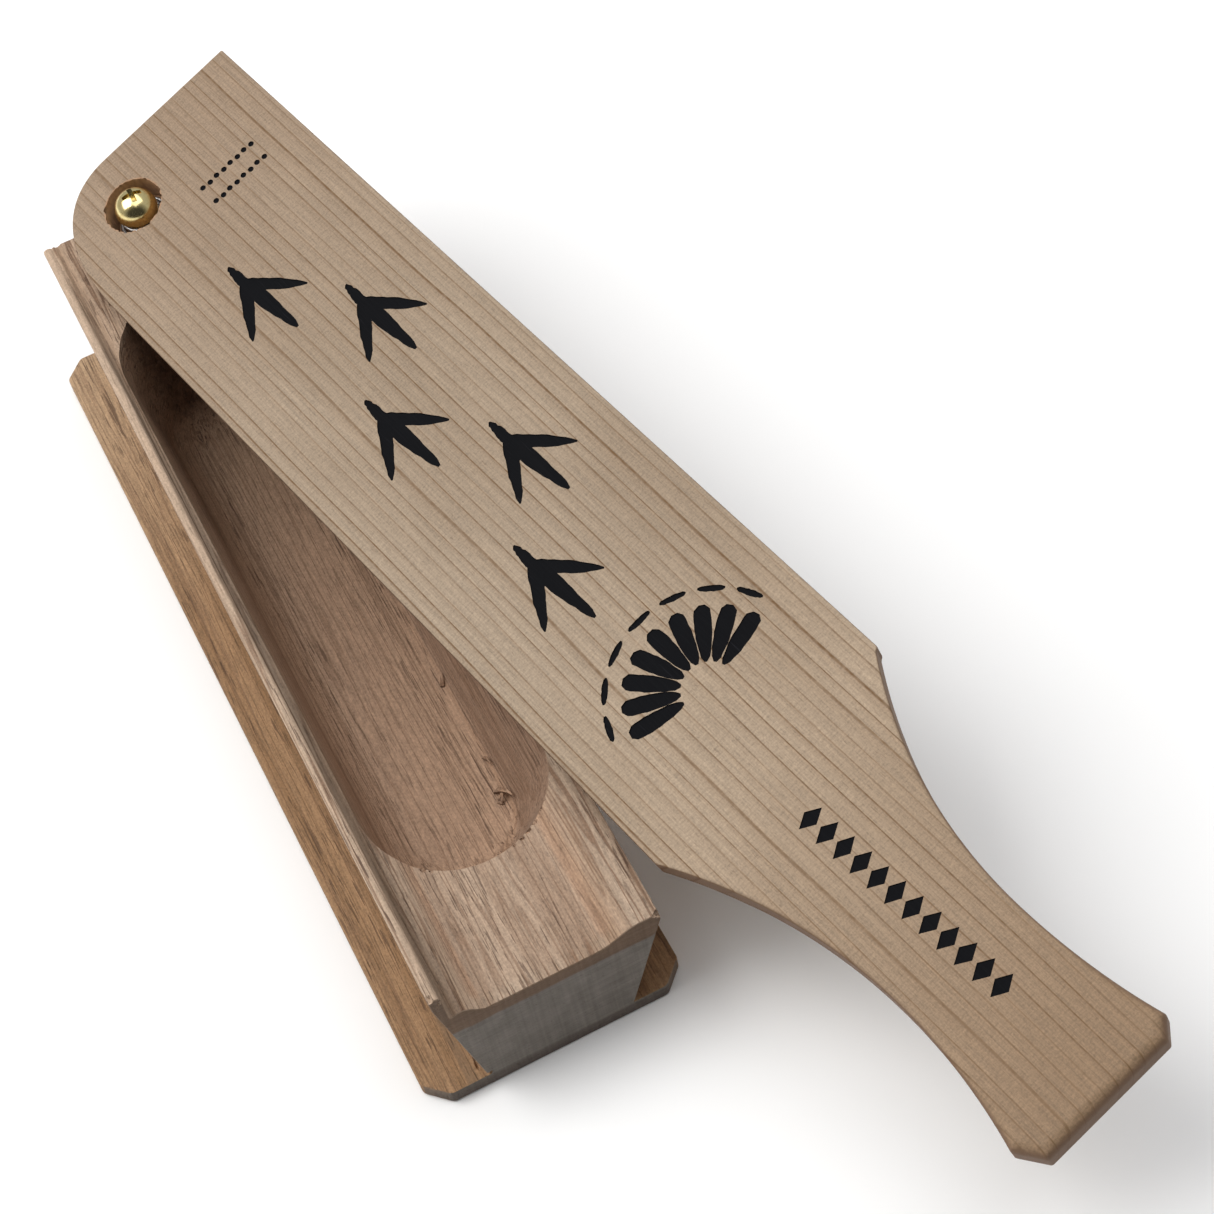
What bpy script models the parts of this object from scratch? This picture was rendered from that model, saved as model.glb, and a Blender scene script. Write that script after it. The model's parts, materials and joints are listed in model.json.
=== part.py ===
"""Box turkey call: a milled wooden sound box with a loose paddle lid on a sprung pivot screw.

Frame: origin at the centre of the base's underside, +X towards the handle, +Z up, metres.
The lid stands where it lies when it is swung open to the right and rocked onto its left facet.
"""
import math

import bmesh
import bpy
from mathutils import Matrix, Vector

# sound box
BOX_LENGTH = 0.200
BASE_HALF_WIDTH = 0.0257
BASE_THICKNESS = 0.0034
BASE_CORNER_CLIP = 0.0042
BASE_CORNER_RADIUS = 0.0016
BASE_CORNER_STEPS = 4
LEFT_FOOT = -0.0141
RIGHT_FOOT = 0.0149
LIP_OUTER = -0.01975
LIP_INNER = -0.0175
LIP_TOP = 0.0370
LIP_SHOULDER = 0.0336
LIP_LEAN = 0.0002
LIP_ROUNDING = ((0.0, 0.0007), (0.0002, 0.0002), (0.0006, 0.0), (0.0012, 0.0002))
GROOVE_WIDTH = 0.0007
GROOVE_START = 0.0004
GROOVE_DEPTH = 0.0002
BLANK_ALLOWANCE = 0.0001
RIGHT_SIDE = 0.0230
RIGHT_SIDE_FOOT = 0.0271
DECK_HEIGHT_FAR = 0.0369
DECK_SLOPE = 0.0387

# sound chamber, milled with a tapered cutter
CHAMBER_FLOOR = 0.0081
CHAMBER_FILLET = 0.0060
CHAMBER_RIGHT_FILLET = 0.0016
CHAMBER_FILLET_STEPS = 6
CHAMBER_TOP = 0.0416
CHAMBER_FAR_END = -0.0660
CHAMBER_NEAR_END = 0.0665
CHAMBER_END_TAPER = 0.415
CHAMBER_LEFT = -0.0118
CHAMBER_LEFT_TAPER = 0.174
CHAMBER_RIGHT = 0.0132
CHAMBER_RIGHT_TAPER = 0.330
CHAMBER_RIGHT_LIMIT = 0.0200
CHAMBER_ARC_STEPS = 20

# shallow dish in the deck at the handle end
DISH_START = 0.0500
DISH_DEPTH = 0.0026
DISH_FLOOR = (-0.0114, 0.0120)
DISH_RIM = (-0.0146, 0.0186)
DISH_RUNOUT = 0.0006

# paddle lid, in its own frame: origin where the counterbore's axis meets the top face
LID_FAR_END = -0.0144
LID_LEFT = -0.01755
LID_RIGHT = 0.03605
LID_SHOULDER = 0.1873
SHOULDER_EASE = 0.0004
FAR_CORNER = ((0.018, LID_LEFT), (0.002, -0.0179), (-0.0146, -0.0135), (LID_FAR_END, 0.003))
LID_THICKNESS = 0.0091
LID_FACET_TAPER = 0.2400
LID_FACET_WIDTH = 0.0175
HANDLE_THICKNESS = 0.0062
HANDLE_START = 0.2060
HANDLE_COVE_RADIUS = 0.0300
HANDLE_COVE_RUNOUT = 0.0004
HANDLE_COVE_STEPS = 8
HANDLE_END = 0.2699
HANDLE_END_SIDES = (-0.0058, 0.0210)
HANDLE_CORNERS = (0.2648, 0.2667)
RIGHT_NECK = {"centre": 0.2370, "side": 0.0203, "shoulder_radius": 0.0900, "flare_radius": 0.1250}
LEFT_NECK = {"centre": 0.2360, "side": -0.0052, "shoulder_radius": 0.1030, "flare_radius": 0.1060}
NECK_STEPS = 14
CORNER_STEPS = 12
COUNTERBORE_RADIUS = 0.0062
COUNTERBORE_DEPTH = 0.0066
LID_HOLE_RADIUS = 0.0046

# how the lid lies: its top face over the pivot, and its turn, droop and roll
PIVOT_X = -0.0917
PIVOT_Y = 0.0009
LID_TOP_OVER_PIVOT = 0.0467
LID_SWING = 0.2259
LID_DROOP = 0.0388
LID_ROLL = 0.2638
ROCK_DEPTH = 0.00175

# pivot screw and its spring
SCREW_RADIUS = 0.0021
SCREW_LENGTH = 0.0280
SCREW_POINT = 0.0040
PILOT_CLEARANCE = 0.0003
HEAD_RADIUS = 0.0045
HEAD_RIM = 0.0009
HEAD_DOME = 0.0044
HEAD_DOME_STEPS = 8
HEAD_UNDERSIDE = 0.0444
RECESS_WIDTH = 0.0011
RECESS_SPAN = 0.0050
RECESS_DEPTH = 0.0019
SCREW_STEPS = 40
SPRING_WIRE_RADIUS = 0.0004
SPRING_TOP_RADIUS = 0.0031
SPRING_BOTTOM_RADIUS = 0.0052
SPRING_TURNS = 3.0
SPRING_STEPS_PER_TURN = 20
SPRING_DEAD_COIL = 1 / 6
GAP = 0.0003

CUT_MARGIN = 0.010


def clear_scene():
    for existing in list(bpy.data.objects):
        bpy.data.objects.remove(existing, do_unlink=True)


def new_collection(name):
    collection = bpy.data.collections.new(name)
    bpy.context.scene.collection.children.link(collection)
    return collection


def new_material(name, colour, roughness, metallic):
    material = bpy.data.materials.new(name)
    material.use_nodes = True
    shader = material.node_tree.nodes["Principled BSDF"]
    shader.inputs["Base Color"].default_value = (*colour, 1.0)
    shader.inputs["Roughness"].default_value = roughness
    shader.inputs["Metallic"].default_value = metallic
    return material


def object_from_bmesh(name, shape, collection):
    mesh = bpy.data.meshes.new(name)
    shape.to_mesh(mesh)
    shape.free()
    made = bpy.data.objects.new(name, mesh)
    collection.objects.link(made)
    return made


def extruded_outline(name, outline, low, high, placing, collection):
    """A closed 2D outline, extruded along its own Z from low to high, then placed."""
    curve = bpy.data.curves.new(name, "CURVE")
    curve.dimensions = "2D"
    curve.fill_mode = "BOTH"
    curve.extrude = (high - low) / 2
    spline = curve.splines.new("POLY")
    spline.points.add(len(outline) - 1)
    for point, (x, y) in zip(spline.points, outline):
        point.co = (x, y, 0.0, 1.0)
    spline.use_cyclic_u = True
    drawn = bpy.data.objects.new(name + "_outline", curve)
    collection.objects.link(drawn)
    drawn.matrix_world = placing @ Matrix.Translation((0.0, 0.0, (low + high) / 2))
    bpy.context.view_layer.update()
    evaluated = drawn.evaluated_get(bpy.context.evaluated_depsgraph_get())
    mesh = bpy.data.meshes.new_from_object(evaluated)
    shape = bmesh.new()
    shape.from_mesh(mesh)
    bmesh.ops.remove_doubles(shape, verts=shape.verts, dist=0.000001)
    bmesh.ops.recalc_face_normals(shape, faces=shape.faces)
    shape.to_mesh(mesh)
    shape.free()
    solid = bpy.data.objects.new(name, mesh)
    collection.objects.link(solid)
    solid.matrix_world = drawn.matrix_world
    bpy.data.objects.remove(drawn, do_unlink=True)
    bpy.data.curves.remove(curve)
    return solid


def cylinder(name, radius, low, high, placing, collection, segments=40):
    shape = bmesh.new()
    sizes = {"radius1": radius, "radius2": radius, "depth": high - low}
    bmesh.ops.create_cone(shape, cap_ends=True, segments=segments, **sizes)
    bmesh.ops.translate(shape, verts=shape.verts, vec=(0.0, 0.0, (low + high) / 2))
    made = object_from_bmesh(name, shape, collection)
    made.matrix_world = placing
    return made


def block(name, lowest, highest, placing, collection):
    shape = bmesh.new()
    bmesh.ops.create_cube(shape, size=1.0)
    size = [high - low for low, high in zip(lowest, highest)]
    middle = [(high + low) / 2 for low, high in zip(lowest, highest)]
    bmesh.ops.scale(shape, verts=shape.verts, vec=size)
    bmesh.ops.translate(shape, verts=shape.verts, vec=middle)
    made = object_from_bmesh(name, shape, collection)
    made.matrix_world = placing
    return made


def boolean(target, tool, operation):
    tool.hide_render = True
    tool.display_type = "WIRE"
    modifier = target.modifiers.new(tool.name, "BOOLEAN")
    modifier.operation = operation
    modifier.solver = "EXACT"
    modifier.object = tool


def deck_height(x):
    """Height of the sloping deck that the lid lies over."""
    return DECK_HEIGHT_FAR - DECK_SLOPE * (x + BOX_LENGTH / 2)


def along_x():
    """Turns an outline's X, Y and extrusion into the part's Y, Z and X."""
    return Matrix(((0, 0, 1, 0), (1, 0, 0, 0), (0, 1, 0, 0), (0, 0, 0, 1)))


def clipped_rectangle(half_length, half_width):
    """The base's outline: corners cut off at 45 degrees, with the cuts' own corners rounded."""
    outline = []
    for quarter, (sx, sy) in enumerate(((1, 1), (-1, 1), (-1, -1), (1, -1))):
        corners = [Vector((sx * half_length, sy * (half_width - BASE_CORNER_CLIP))),
                   Vector((sx * (half_length - BASE_CORNER_CLIP), sy * half_width))]
        if quarter % 2:
            corners.reverse()
        for index, corner in enumerate(corners):
            middle = (quarter + 0.25 + 0.5 * index) * math.pi / 2
            reach = BASE_CORNER_RADIUS / math.cos(math.pi / 8)
            centre = corner - reach * Vector((math.cos(middle), math.sin(middle)))
            for step in range(BASE_CORNER_STEPS + 1):
                angle = middle + math.pi / 4 * (step / BASE_CORNER_STEPS - 0.5)
                outward = Vector((math.cos(angle), math.sin(angle)))
                outline.append(tuple(centre + BASE_CORNER_RADIUS * outward))
    return outline


def box_profile():
    """Cross-section of the walls before the deck and the chamber are cut, seen along the box."""
    inside_base = BASE_THICKNESS / 2
    top = LIP_TOP + BLANK_ALLOWANCE
    outline = [(LEFT_FOOT, inside_base), (LEFT_FOOT, BASE_THICKNESS), (LIP_OUTER + LIP_LEAN, LIP_SHOULDER)]
    lip = [(LIP_OUTER + inward, LIP_TOP - down) for inward, down in LIP_ROUNDING]
    lip_edge = LIP_TOP - LIP_ROUNDING[0][1]
    groove = [(LIP_INNER - GROOVE_START, lip_edge), (LIP_INNER, lip_edge - GROOVE_DEPTH)]
    right = [(LIP_INNER + GROOVE_WIDTH, top), (RIGHT_SIDE, top), (RIGHT_SIDE, RIGHT_SIDE_FOOT)]
    right += [(RIGHT_FOOT, BASE_THICKNESS), (RIGHT_FOOT, inside_base)]
    return list(reversed(outline + lip + groove + right))


def fillet_inset(rise, fillet):
    """How far the chamber's wall stands in from its straight line at a height above the floor."""
    if rise >= fillet:
        return 0.0
    return fillet - math.sqrt(fillet ** 2 - (fillet - rise) ** 2)


def chamber_section(height):
    """Ends and sides of the chamber at a height: it widens upwards and has a filleted floor."""
    rise = height - CHAMBER_FLOOR
    inset = fillet_inset(rise, CHAMBER_FILLET)
    far = CHAMBER_FAR_END - CHAMBER_END_TAPER * rise + inset
    near = CHAMBER_NEAR_END + CHAMBER_END_TAPER * rise - inset
    left = CHAMBER_LEFT - CHAMBER_LEFT_TAPER * rise + inset
    right = min(CHAMBER_RIGHT + CHAMBER_RIGHT_TAPER * rise, CHAMBER_RIGHT_LIMIT)
    right -= fillet_inset(rise, CHAMBER_RIGHT_FILLET)
    return far, near, left, right


def chamber_ring(height):
    far, near, left, right = chamber_section(height)
    radius = (right - left) / 2
    middle = (right + left) / 2
    ring = []
    for centre, start in ((near - radius, -math.pi / 2), (far + radius, math.pi / 2)):
        for step in range(CHAMBER_ARC_STEPS + 1):
            angle = start + math.pi * step / CHAMBER_ARC_STEPS
            ring.append((centre + radius * math.cos(angle), middle + radius * math.sin(angle), height))
    return ring


def chamber_cutter(collection):
    """The milled chamber as a loft of level slots with round ends."""
    heights = []
    for step in range(CHAMBER_FILLET_STEPS):
        angle = math.pi / 2 * step / CHAMBER_FILLET_STEPS
        heights.append(CHAMBER_FLOOR + CHAMBER_FILLET * (1 - math.cos(angle)))
    limit = CHAMBER_FLOOR + (CHAMBER_RIGHT_LIMIT - CHAMBER_RIGHT) / CHAMBER_RIGHT_TAPER
    heights += [CHAMBER_FLOOR + CHAMBER_FILLET, limit, CHAMBER_TOP]
    shape = bmesh.new()
    rings = [[shape.verts.new(point) for point in chamber_ring(height)] for height in heights]
    count = len(rings[0])
    for lower, upper in zip(rings, rings[1:]):
        for index in range(count):
            following = (index + 1) % count
            shape.faces.new((lower[index], lower[following], upper[following], upper[index]))
    shape.faces.new(list(reversed(rings[0])))
    shape.faces.new(rings[-1])
    bmesh.ops.recalc_face_normals(shape, faces=shape.faces)
    return object_from_bmesh("chamber_cutter", shape, collection)


def deck_placing():
    """A frame lying on the deck: origin on its far edge, X down the slope."""
    turn = Matrix.Rotation(math.atan(DECK_SLOPE), 4, "Y")
    return Matrix.Translation((-BOX_LENGTH / 2, 0.0, DECK_HEIGHT_FAR)) @ turn


def make_sound_box(material, parts, cutters):
    body = extruded_outline("sound_box", box_profile(), -BOX_LENGTH / 2, BOX_LENGTH / 2, along_x(), parts)
    base_outline = clipped_rectangle(BOX_LENGTH / 2, BASE_HALF_WIDTH)
    base = extruded_outline("base_plate", base_outline, 0.0, BASE_THICKNESS, Matrix.Identity(4), cutters)
    boolean(body, base, "UNION")

    over = BOX_LENGTH + CUT_MARGIN
    deck_low = (-CUT_MARGIN, LIP_INNER, 0.0)
    deck_high = (over, RIGHT_SIDE + CUT_MARGIN, CUT_MARGIN * 2)
    boolean(body, block("deck_cutter", deck_low, deck_high, deck_placing(), cutters), "DIFFERENCE")

    dish = [(DISH_RIM[0], DISH_RUNOUT), (DISH_FLOOR[0], -DISH_DEPTH), (DISH_FLOOR[1], -DISH_DEPTH)]
    dish.append((DISH_RIM[1], DISH_RUNOUT))
    dish_start = DISH_START + BOX_LENGTH / 2
    dish_cutter = extruded_outline("dish_cutter", dish, dish_start, over, deck_placing() @ along_x(), cutters)
    boolean(body, dish_cutter, "DIFFERENCE")

    boolean(body, chamber_cutter(cutters), "DIFFERENCE")

    pilot_bottom = HEAD_UNDERSIDE - SCREW_LENGTH - GAP
    pilot = cylinder("pilot_cutter", SCREW_RADIUS + PILOT_CLEARANCE, pilot_bottom, LIP_TOP + CUT_MARGIN,
                     Matrix.Translation((PIVOT_X, PIVOT_Y, 0.0)), cutters, segments=24)
    boolean(body, pilot, "DIFFERENCE")
    body.data.materials.append(material)
    return body


def bezier(controls, steps):
    points = []
    for step in range(steps + 1):
        t = step / steps
        weights = ((1 - t) ** 3, 3 * t * (1 - t) ** 2, 3 * t * t * (1 - t), t ** 3)
        x = sum(weight * point[0] for weight, point in zip(weights, controls))
        y = sum(weight * point[1] for weight, point in zip(weights, controls))
        points.append((x, y))
    return points


def neck_side(neck, start, end, outward):
    """One concave side of the handle: a tight arc from the shoulder, a wider one out to the end."""
    points = []
    for step in range(NECK_STEPS + 1):
        u = start + (end - start) * step / NECK_STEPS
        away = u - neck["centre"]
        radius = neck["shoulder_radius"] if away < 0 else neck["flare_radius"]
        sag = radius - math.sqrt(radius ** 2 - away ** 2)
        points.append((u, neck["side"] + outward * sag))
    return points


def lid_outline():
    """The lid seen from above, anticlockwise from the corner at the far end's right."""
    left_corner, right_corner = HANDLE_CORNERS
    shoulder = LID_SHOULDER - SHOULDER_EASE
    outline = list(reversed(bezier(FAR_CORNER, CORNER_STEPS)))
    left_side = neck_side(LEFT_NECK, LID_SHOULDER, left_corner, -1)
    right_side = neck_side(RIGHT_NECK, LID_SHOULDER, right_corner, 1)
    outline.append((shoulder, LID_LEFT))
    outline += left_side
    outline += [(HANDLE_END, HANDLE_END_SIDES[0]), (HANDLE_END, HANDLE_END_SIDES[1])]
    outline += list(reversed(right_side))
    outline += [(shoulder, LID_RIGHT), (LID_FAR_END, LID_RIGHT)]
    return outline


def facet_outline(edge, inward):
    """What is planed off one side of the underside, in the lid's side and height."""
    outer = edge - inward * CUT_MARGIN
    inner = edge + inward * LID_FACET_WIDTH
    drop = LID_FACET_TAPER * (LID_FACET_WIDTH + CUT_MARGIN)
    return [(outer, -LID_THICKNESS + drop), (inner, -LID_THICKNESS), (inner, -2 * LID_THICKNESS),
            (outer, -2 * LID_THICKNESS)]


def handle_underside_outline():
    """What is milled off below the handle, with a cove where it meets the thicker lid."""
    centre_height = -HANDLE_THICKNESS - HANDLE_COVE_RADIUS
    cove_depth = LID_THICKNESS - HANDLE_THICKNESS + HANDLE_COVE_RUNOUT
    sweep = math.acos((HANDLE_COVE_RADIUS - cove_depth) / HANDLE_COVE_RADIUS)
    outline = []
    for step in range(HANDLE_COVE_STEPS + 1):
        angle = sweep * (1 - step / HANDLE_COVE_STEPS)
        u = HANDLE_START - HANDLE_COVE_RADIUS * math.sin(angle)
        outline.append((u, centre_height + HANDLE_COVE_RADIUS * math.cos(angle)))
    outline.append((HANDLE_END + CUT_MARGIN, -HANDLE_THICKNESS))
    outline.append((HANDLE_END + CUT_MARGIN, -2 * LID_THICKNESS))
    outline.append((outline[0][0], -2 * LID_THICKNESS))
    return outline


def lid_turn():
    """The lid's attitude: swung to the right, drooping to the handle, rolled onto its left side."""
    swing = Matrix.Rotation(LID_SWING, 4, "Z")
    droop = Matrix.Rotation(LID_DROOP, 4, "Y")
    roll = Matrix.Rotation(LID_ROLL, 4, "X")
    return swing @ droop @ roll


def lid_placing():
    """The lid's frame in the part: the rock axis crosses the screw's axis a little under the top face."""
    turn = lid_turn()
    up = turn.col[2].to_3d()
    on_screw = Vector((PIVOT_X, PIVOT_Y, LID_TOP_OVER_PIVOT - ROCK_DEPTH * up.z))
    return Matrix.Translation(on_screw + ROCK_DEPTH * up) @ turn


def make_lid(material, parts, cutters):
    placing = lid_placing()
    lid = extruded_outline("lid_paddle", lid_outline(), -LID_THICKNESS, 0.0, placing, parts)
    lengthways = Matrix(((1, 0, 0, 0), (0, 0, -1, 0), (0, 1, 0, 0), (0, 0, 0, 1)))
    far = LID_FAR_END - CUT_MARGIN
    near = HANDLE_END + CUT_MARGIN
    for side, edge, inward in (("left", LID_LEFT, 1), ("right", LID_RIGHT, -1)):
        outline = facet_outline(edge, inward)
        cutter = extruded_outline(side + "_facet_cutter", outline, far, near, placing @ along_x(), cutters)
        boolean(lid, cutter, "DIFFERENCE")
    across = LID_RIGHT + CUT_MARGIN
    handle_cutter = extruded_outline("handle_underside_cutter", handle_underside_outline(), -across, across,
                                     placing @ lengthways, cutters)
    boolean(lid, handle_cutter, "DIFFERENCE")
    depth = COUNTERBORE_DEPTH
    bore = cylinder("counterbore_cutter", COUNTERBORE_RADIUS, -depth, CUT_MARGIN, placing, cutters)
    boolean(lid, bore, "DIFFERENCE")
    hole = cylinder("hole_cutter", LID_HOLE_RADIUS, -2 * LID_THICKNESS, 0.0, placing, cutters)
    boolean(lid, hole, "DIFFERENCE")
    lid.data.materials.append(material)
    return lid


def screw_profile():
    """Half-section of the screw from the top of its dome down the outside to its point."""
    profile = [(0.0, HEAD_RIM + HEAD_DOME)]
    for step in range(1, HEAD_DOME_STEPS + 1):
        angle = math.pi / 2 * step / HEAD_DOME_STEPS
        profile.append((HEAD_RADIUS * math.sin(angle), HEAD_RIM + HEAD_DOME * math.cos(angle)))
    profile += [(HEAD_RADIUS, 0.0), (SCREW_RADIUS, 0.0), (SCREW_RADIUS, SCREW_POINT - SCREW_LENGTH)]
    profile.append((0.0, -SCREW_LENGTH))
    return profile


def make_screw(material, parts, cutters):
    shape = bmesh.new()
    previous = None
    for radius, height in screw_profile():
        vertex = shape.verts.new((radius, 0.0, height))
        if previous is not None:
            shape.edges.new((previous, vertex))
        previous = vertex
    screw = object_from_bmesh("pivot_screw", shape, parts)
    screw.location = (PIVOT_X, PIVOT_Y, HEAD_UNDERSIDE)
    turn = screw.modifiers.new("turned", "SCREW")
    turn.axis = "Z"
    turn.steps = SCREW_STEPS
    turn.render_steps = SCREW_STEPS
    turn.use_merge_vertices = True
    turn.merge_threshold = 0.00001
    turn.use_smooth_shade = True
    placing = Matrix.Translation((PIVOT_X, PIVOT_Y, HEAD_UNDERSIDE))
    low = HEAD_RIM + HEAD_DOME - RECESS_DEPTH
    for name, half_x, half_y in (("recess_long_cutter", RECESS_SPAN / 2, RECESS_WIDTH / 2),
                                 ("recess_cross_cutter", RECESS_WIDTH / 2, RECESS_SPAN / 2)):
        cutter = block(name, (-half_x, -half_y, low), (half_x, half_y, CUT_MARGIN), placing, cutters)
        boolean(screw, cutter, "DIFFERENCE")
    screw.data.materials.append(material)
    return screw


def spring_points():
    """Centre line of the tapered spring, from the counterbore's sloping floor to the level head."""
    placing = lid_placing()
    floor_lift = GAP + SPRING_WIRE_RADIUS - COUNTERBORE_DEPTH
    top_centre = Vector((PIVOT_X, PIVOT_Y, HEAD_UNDERSIDE - GAP - SPRING_WIRE_RADIUS))
    count = int(SPRING_TURNS * SPRING_STEPS_PER_TURN)
    points = []
    for step in range(count + 1):
        along = step / count
        angle = 2 * math.pi * SPRING_TURNS * along
        direction = Vector((math.cos(angle), math.sin(angle), 0.0))
        rise = min(max((along - SPRING_DEAD_COIL) / (1 - 2 * SPRING_DEAD_COIL), 0.0), 1.0)
        low_point = placing @ (SPRING_BOTTOM_RADIUS * direction + Vector((0.0, 0.0, floor_lift)))
        swung = Matrix.Rotation(LID_SWING, 4, "Z") @ direction
        high_point = top_centre + SPRING_TOP_RADIUS * swung
        points.append(low_point.lerp(high_point, rise))
    return points


def make_spring(material, parts):
    curve = bpy.data.curves.new("tension_spring", "CURVE")
    curve.dimensions = "3D"
    curve.bevel_depth = SPRING_WIRE_RADIUS
    curve.bevel_resolution = 2
    curve.use_fill_caps = True
    spline = curve.splines.new("POLY")
    points = spring_points()
    spline.points.add(len(points) - 1)
    origin = Vector((PIVOT_X, PIVOT_Y, HEAD_UNDERSIDE))
    for point, place in zip(spline.points, points):
        point.co = (*(place - origin), 1.0)
    curve.materials.append(material)
    spring = bpy.data.objects.new("tension_spring", curve)
    spring.location = origin
    parts.objects.link(spring)
    return spring


def parent_keeping_place(child, parent):
    bpy.context.view_layer.update()
    child.parent = parent
    child.matrix_parent_inverse = parent.matrix_world.inverted()


def make_joint_empties(lid, spring, parts):
    """The swing axis stands on the screw; the rock axis rides on it, along the lid."""
    placing = lid_placing()
    swing = bpy.data.objects.new("swing_axis", None)
    swing.location = (PIVOT_X, PIVOT_Y, HEAD_UNDERSIDE)
    parts.objects.link(swing)
    rock = bpy.data.objects.new("rock_axis", None)
    rock.matrix_world = placing @ Matrix.Translation((0.0, 0.0, -ROCK_DEPTH))
    parts.objects.link(rock)
    parent_keeping_place(spring, swing)
    parent_keeping_place(rock, swing)
    parent_keeping_place(lid, rock)


clear_scene()
call_parts = new_collection("box_turkey_call")
tools = new_collection("cutters")
box_wood = new_material("box_wood", (0.42, 0.26, 0.16), 0.55, 0.0)
lid_wood = new_material("lid_wood", (0.50, 0.38, 0.26), 0.50, 0.0)
brass = new_material("polished_brass", (0.80, 0.60, 0.25), 0.18, 1.0)
steel = new_material("spring_steel", (0.55, 0.55, 0.56), 0.35, 1.0)
make_sound_box(box_wood, call_parts, tools)
paddle = make_lid(lid_wood, call_parts, tools)
make_screw(brass, call_parts, tools)
coil = make_spring(steel, call_parts)
make_joint_empties(paddle, coil, call_parts)
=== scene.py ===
import json
import math
import random

import bmesh
import bpy
from mathutils import Euler, Matrix, Vector, noise


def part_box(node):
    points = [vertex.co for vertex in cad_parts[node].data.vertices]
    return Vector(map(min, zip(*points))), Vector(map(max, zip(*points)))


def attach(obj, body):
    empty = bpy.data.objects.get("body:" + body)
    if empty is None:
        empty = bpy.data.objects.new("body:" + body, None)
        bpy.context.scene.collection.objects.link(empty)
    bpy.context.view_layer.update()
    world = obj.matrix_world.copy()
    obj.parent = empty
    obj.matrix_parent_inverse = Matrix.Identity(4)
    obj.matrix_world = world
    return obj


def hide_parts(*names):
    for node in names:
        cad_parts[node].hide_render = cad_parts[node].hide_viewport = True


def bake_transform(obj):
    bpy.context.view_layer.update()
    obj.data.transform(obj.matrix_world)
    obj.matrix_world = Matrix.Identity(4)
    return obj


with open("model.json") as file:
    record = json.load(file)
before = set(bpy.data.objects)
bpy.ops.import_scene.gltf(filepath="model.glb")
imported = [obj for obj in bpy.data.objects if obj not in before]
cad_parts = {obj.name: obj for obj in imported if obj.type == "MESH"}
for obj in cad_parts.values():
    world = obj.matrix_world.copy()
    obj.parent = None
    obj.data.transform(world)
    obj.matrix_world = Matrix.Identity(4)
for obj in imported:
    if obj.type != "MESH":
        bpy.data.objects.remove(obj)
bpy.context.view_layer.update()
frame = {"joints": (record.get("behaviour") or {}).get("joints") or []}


def around(angle):
    """The level direction at an angle from +X."""
    return Vector((math.cos(angle), math.sin(angle), 0.0))


def link(name, data):
    made = bpy.data.objects.new(name, data)
    bpy.context.scene.collection.objects.link(made)
    return made


def mesh_object(name, shape):
    bmesh.ops.recalc_face_normals(shape, faces=shape.faces)
    mesh = bpy.data.meshes.new(name)
    shape.to_mesh(mesh)
    shape.free()
    return link(name, mesh)


# ----------------------------------------
# The room. The call stands on a plain pale table under a large soft light from its left, with a
# weaker one overhead. It is seen from above its handle end, where the room is darker.

CAMERA_TARGET = Vector((0.0300, 0.0463, 0.0186))
CAMERA_DISTANCE = 0.5119
CAMERA_HEADING = math.radians(-16.69)
CAMERA_HEIGHT = math.radians(54.17)
CAMERA_ROLL = math.radians(-11.77)
CAMERA_LENS = 79.45
CAMERA_SHIFT = (-0.0014, -0.0019)
ROOM_TILT = 0.25
ROOM_FADE = {"From Min": 0.35, "From Max": 0.80, "To Min": 0.47, "To Max": 0.05}
ROOM_COLOUR = (0.97, 0.98, 1.0, 1.0)
TABLE_SIZE = 6.0
TABLE_DROP = 0.0001
TABLE_COLOUR = (0.93, 0.93, 0.93, 1.0)
TABLE_ROUGHNESS = 0.85

toward_camera = Vector((math.cos(CAMERA_HEIGHT) * math.cos(CAMERA_HEADING),
                        math.cos(CAMERA_HEIGHT) * math.sin(CAMERA_HEADING),
                        math.sin(CAMERA_HEIGHT)))
camera_data = bpy.data.cameras.new("camera")
camera_data.lens = CAMERA_LENS
camera_data.shift_x, camera_data.shift_y = CAMERA_SHIFT
camera_data.clip_start = 0.01
camera = link("camera", camera_data)
camera.location = CAMERA_TARGET + CAMERA_DISTANCE * toward_camera
level_view = (-toward_camera).to_track_quat("-Z", "Y").to_matrix()
camera.rotation_euler = (level_view @ Matrix.Rotation(CAMERA_ROLL, 3, "Z")).to_euler()
bpy.context.scene.camera = camera
bpy.context.scene.view_settings.view_transform = "Standard"


def softbox(name, place, target, size, power, colour=(1.0, 1.0, 1.0)):
    light_data = bpy.data.lights.new(name, "AREA")
    light_data.shape = "SQUARE"
    light_data.size = size
    light_data.energy = power
    light_data.color = colour
    light = link(name, light_data)
    light.location = place
    light.rotation_euler = (Vector(target) - Vector(place)).to_track_quat("-Z", "Y").to_euler()


softbox("key_softbox", place=(-0.30, -0.75, 1.15), target=(0.04, 0.02, 0.02), size=1.00, power=15.0,
        colour=(1.0, 0.985, 0.96))
softbox("top_softbox", place=(-0.10, 0.20, 1.40), target=(0.0, 0.0, 0.02), size=1.40, power=9.5)

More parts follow.
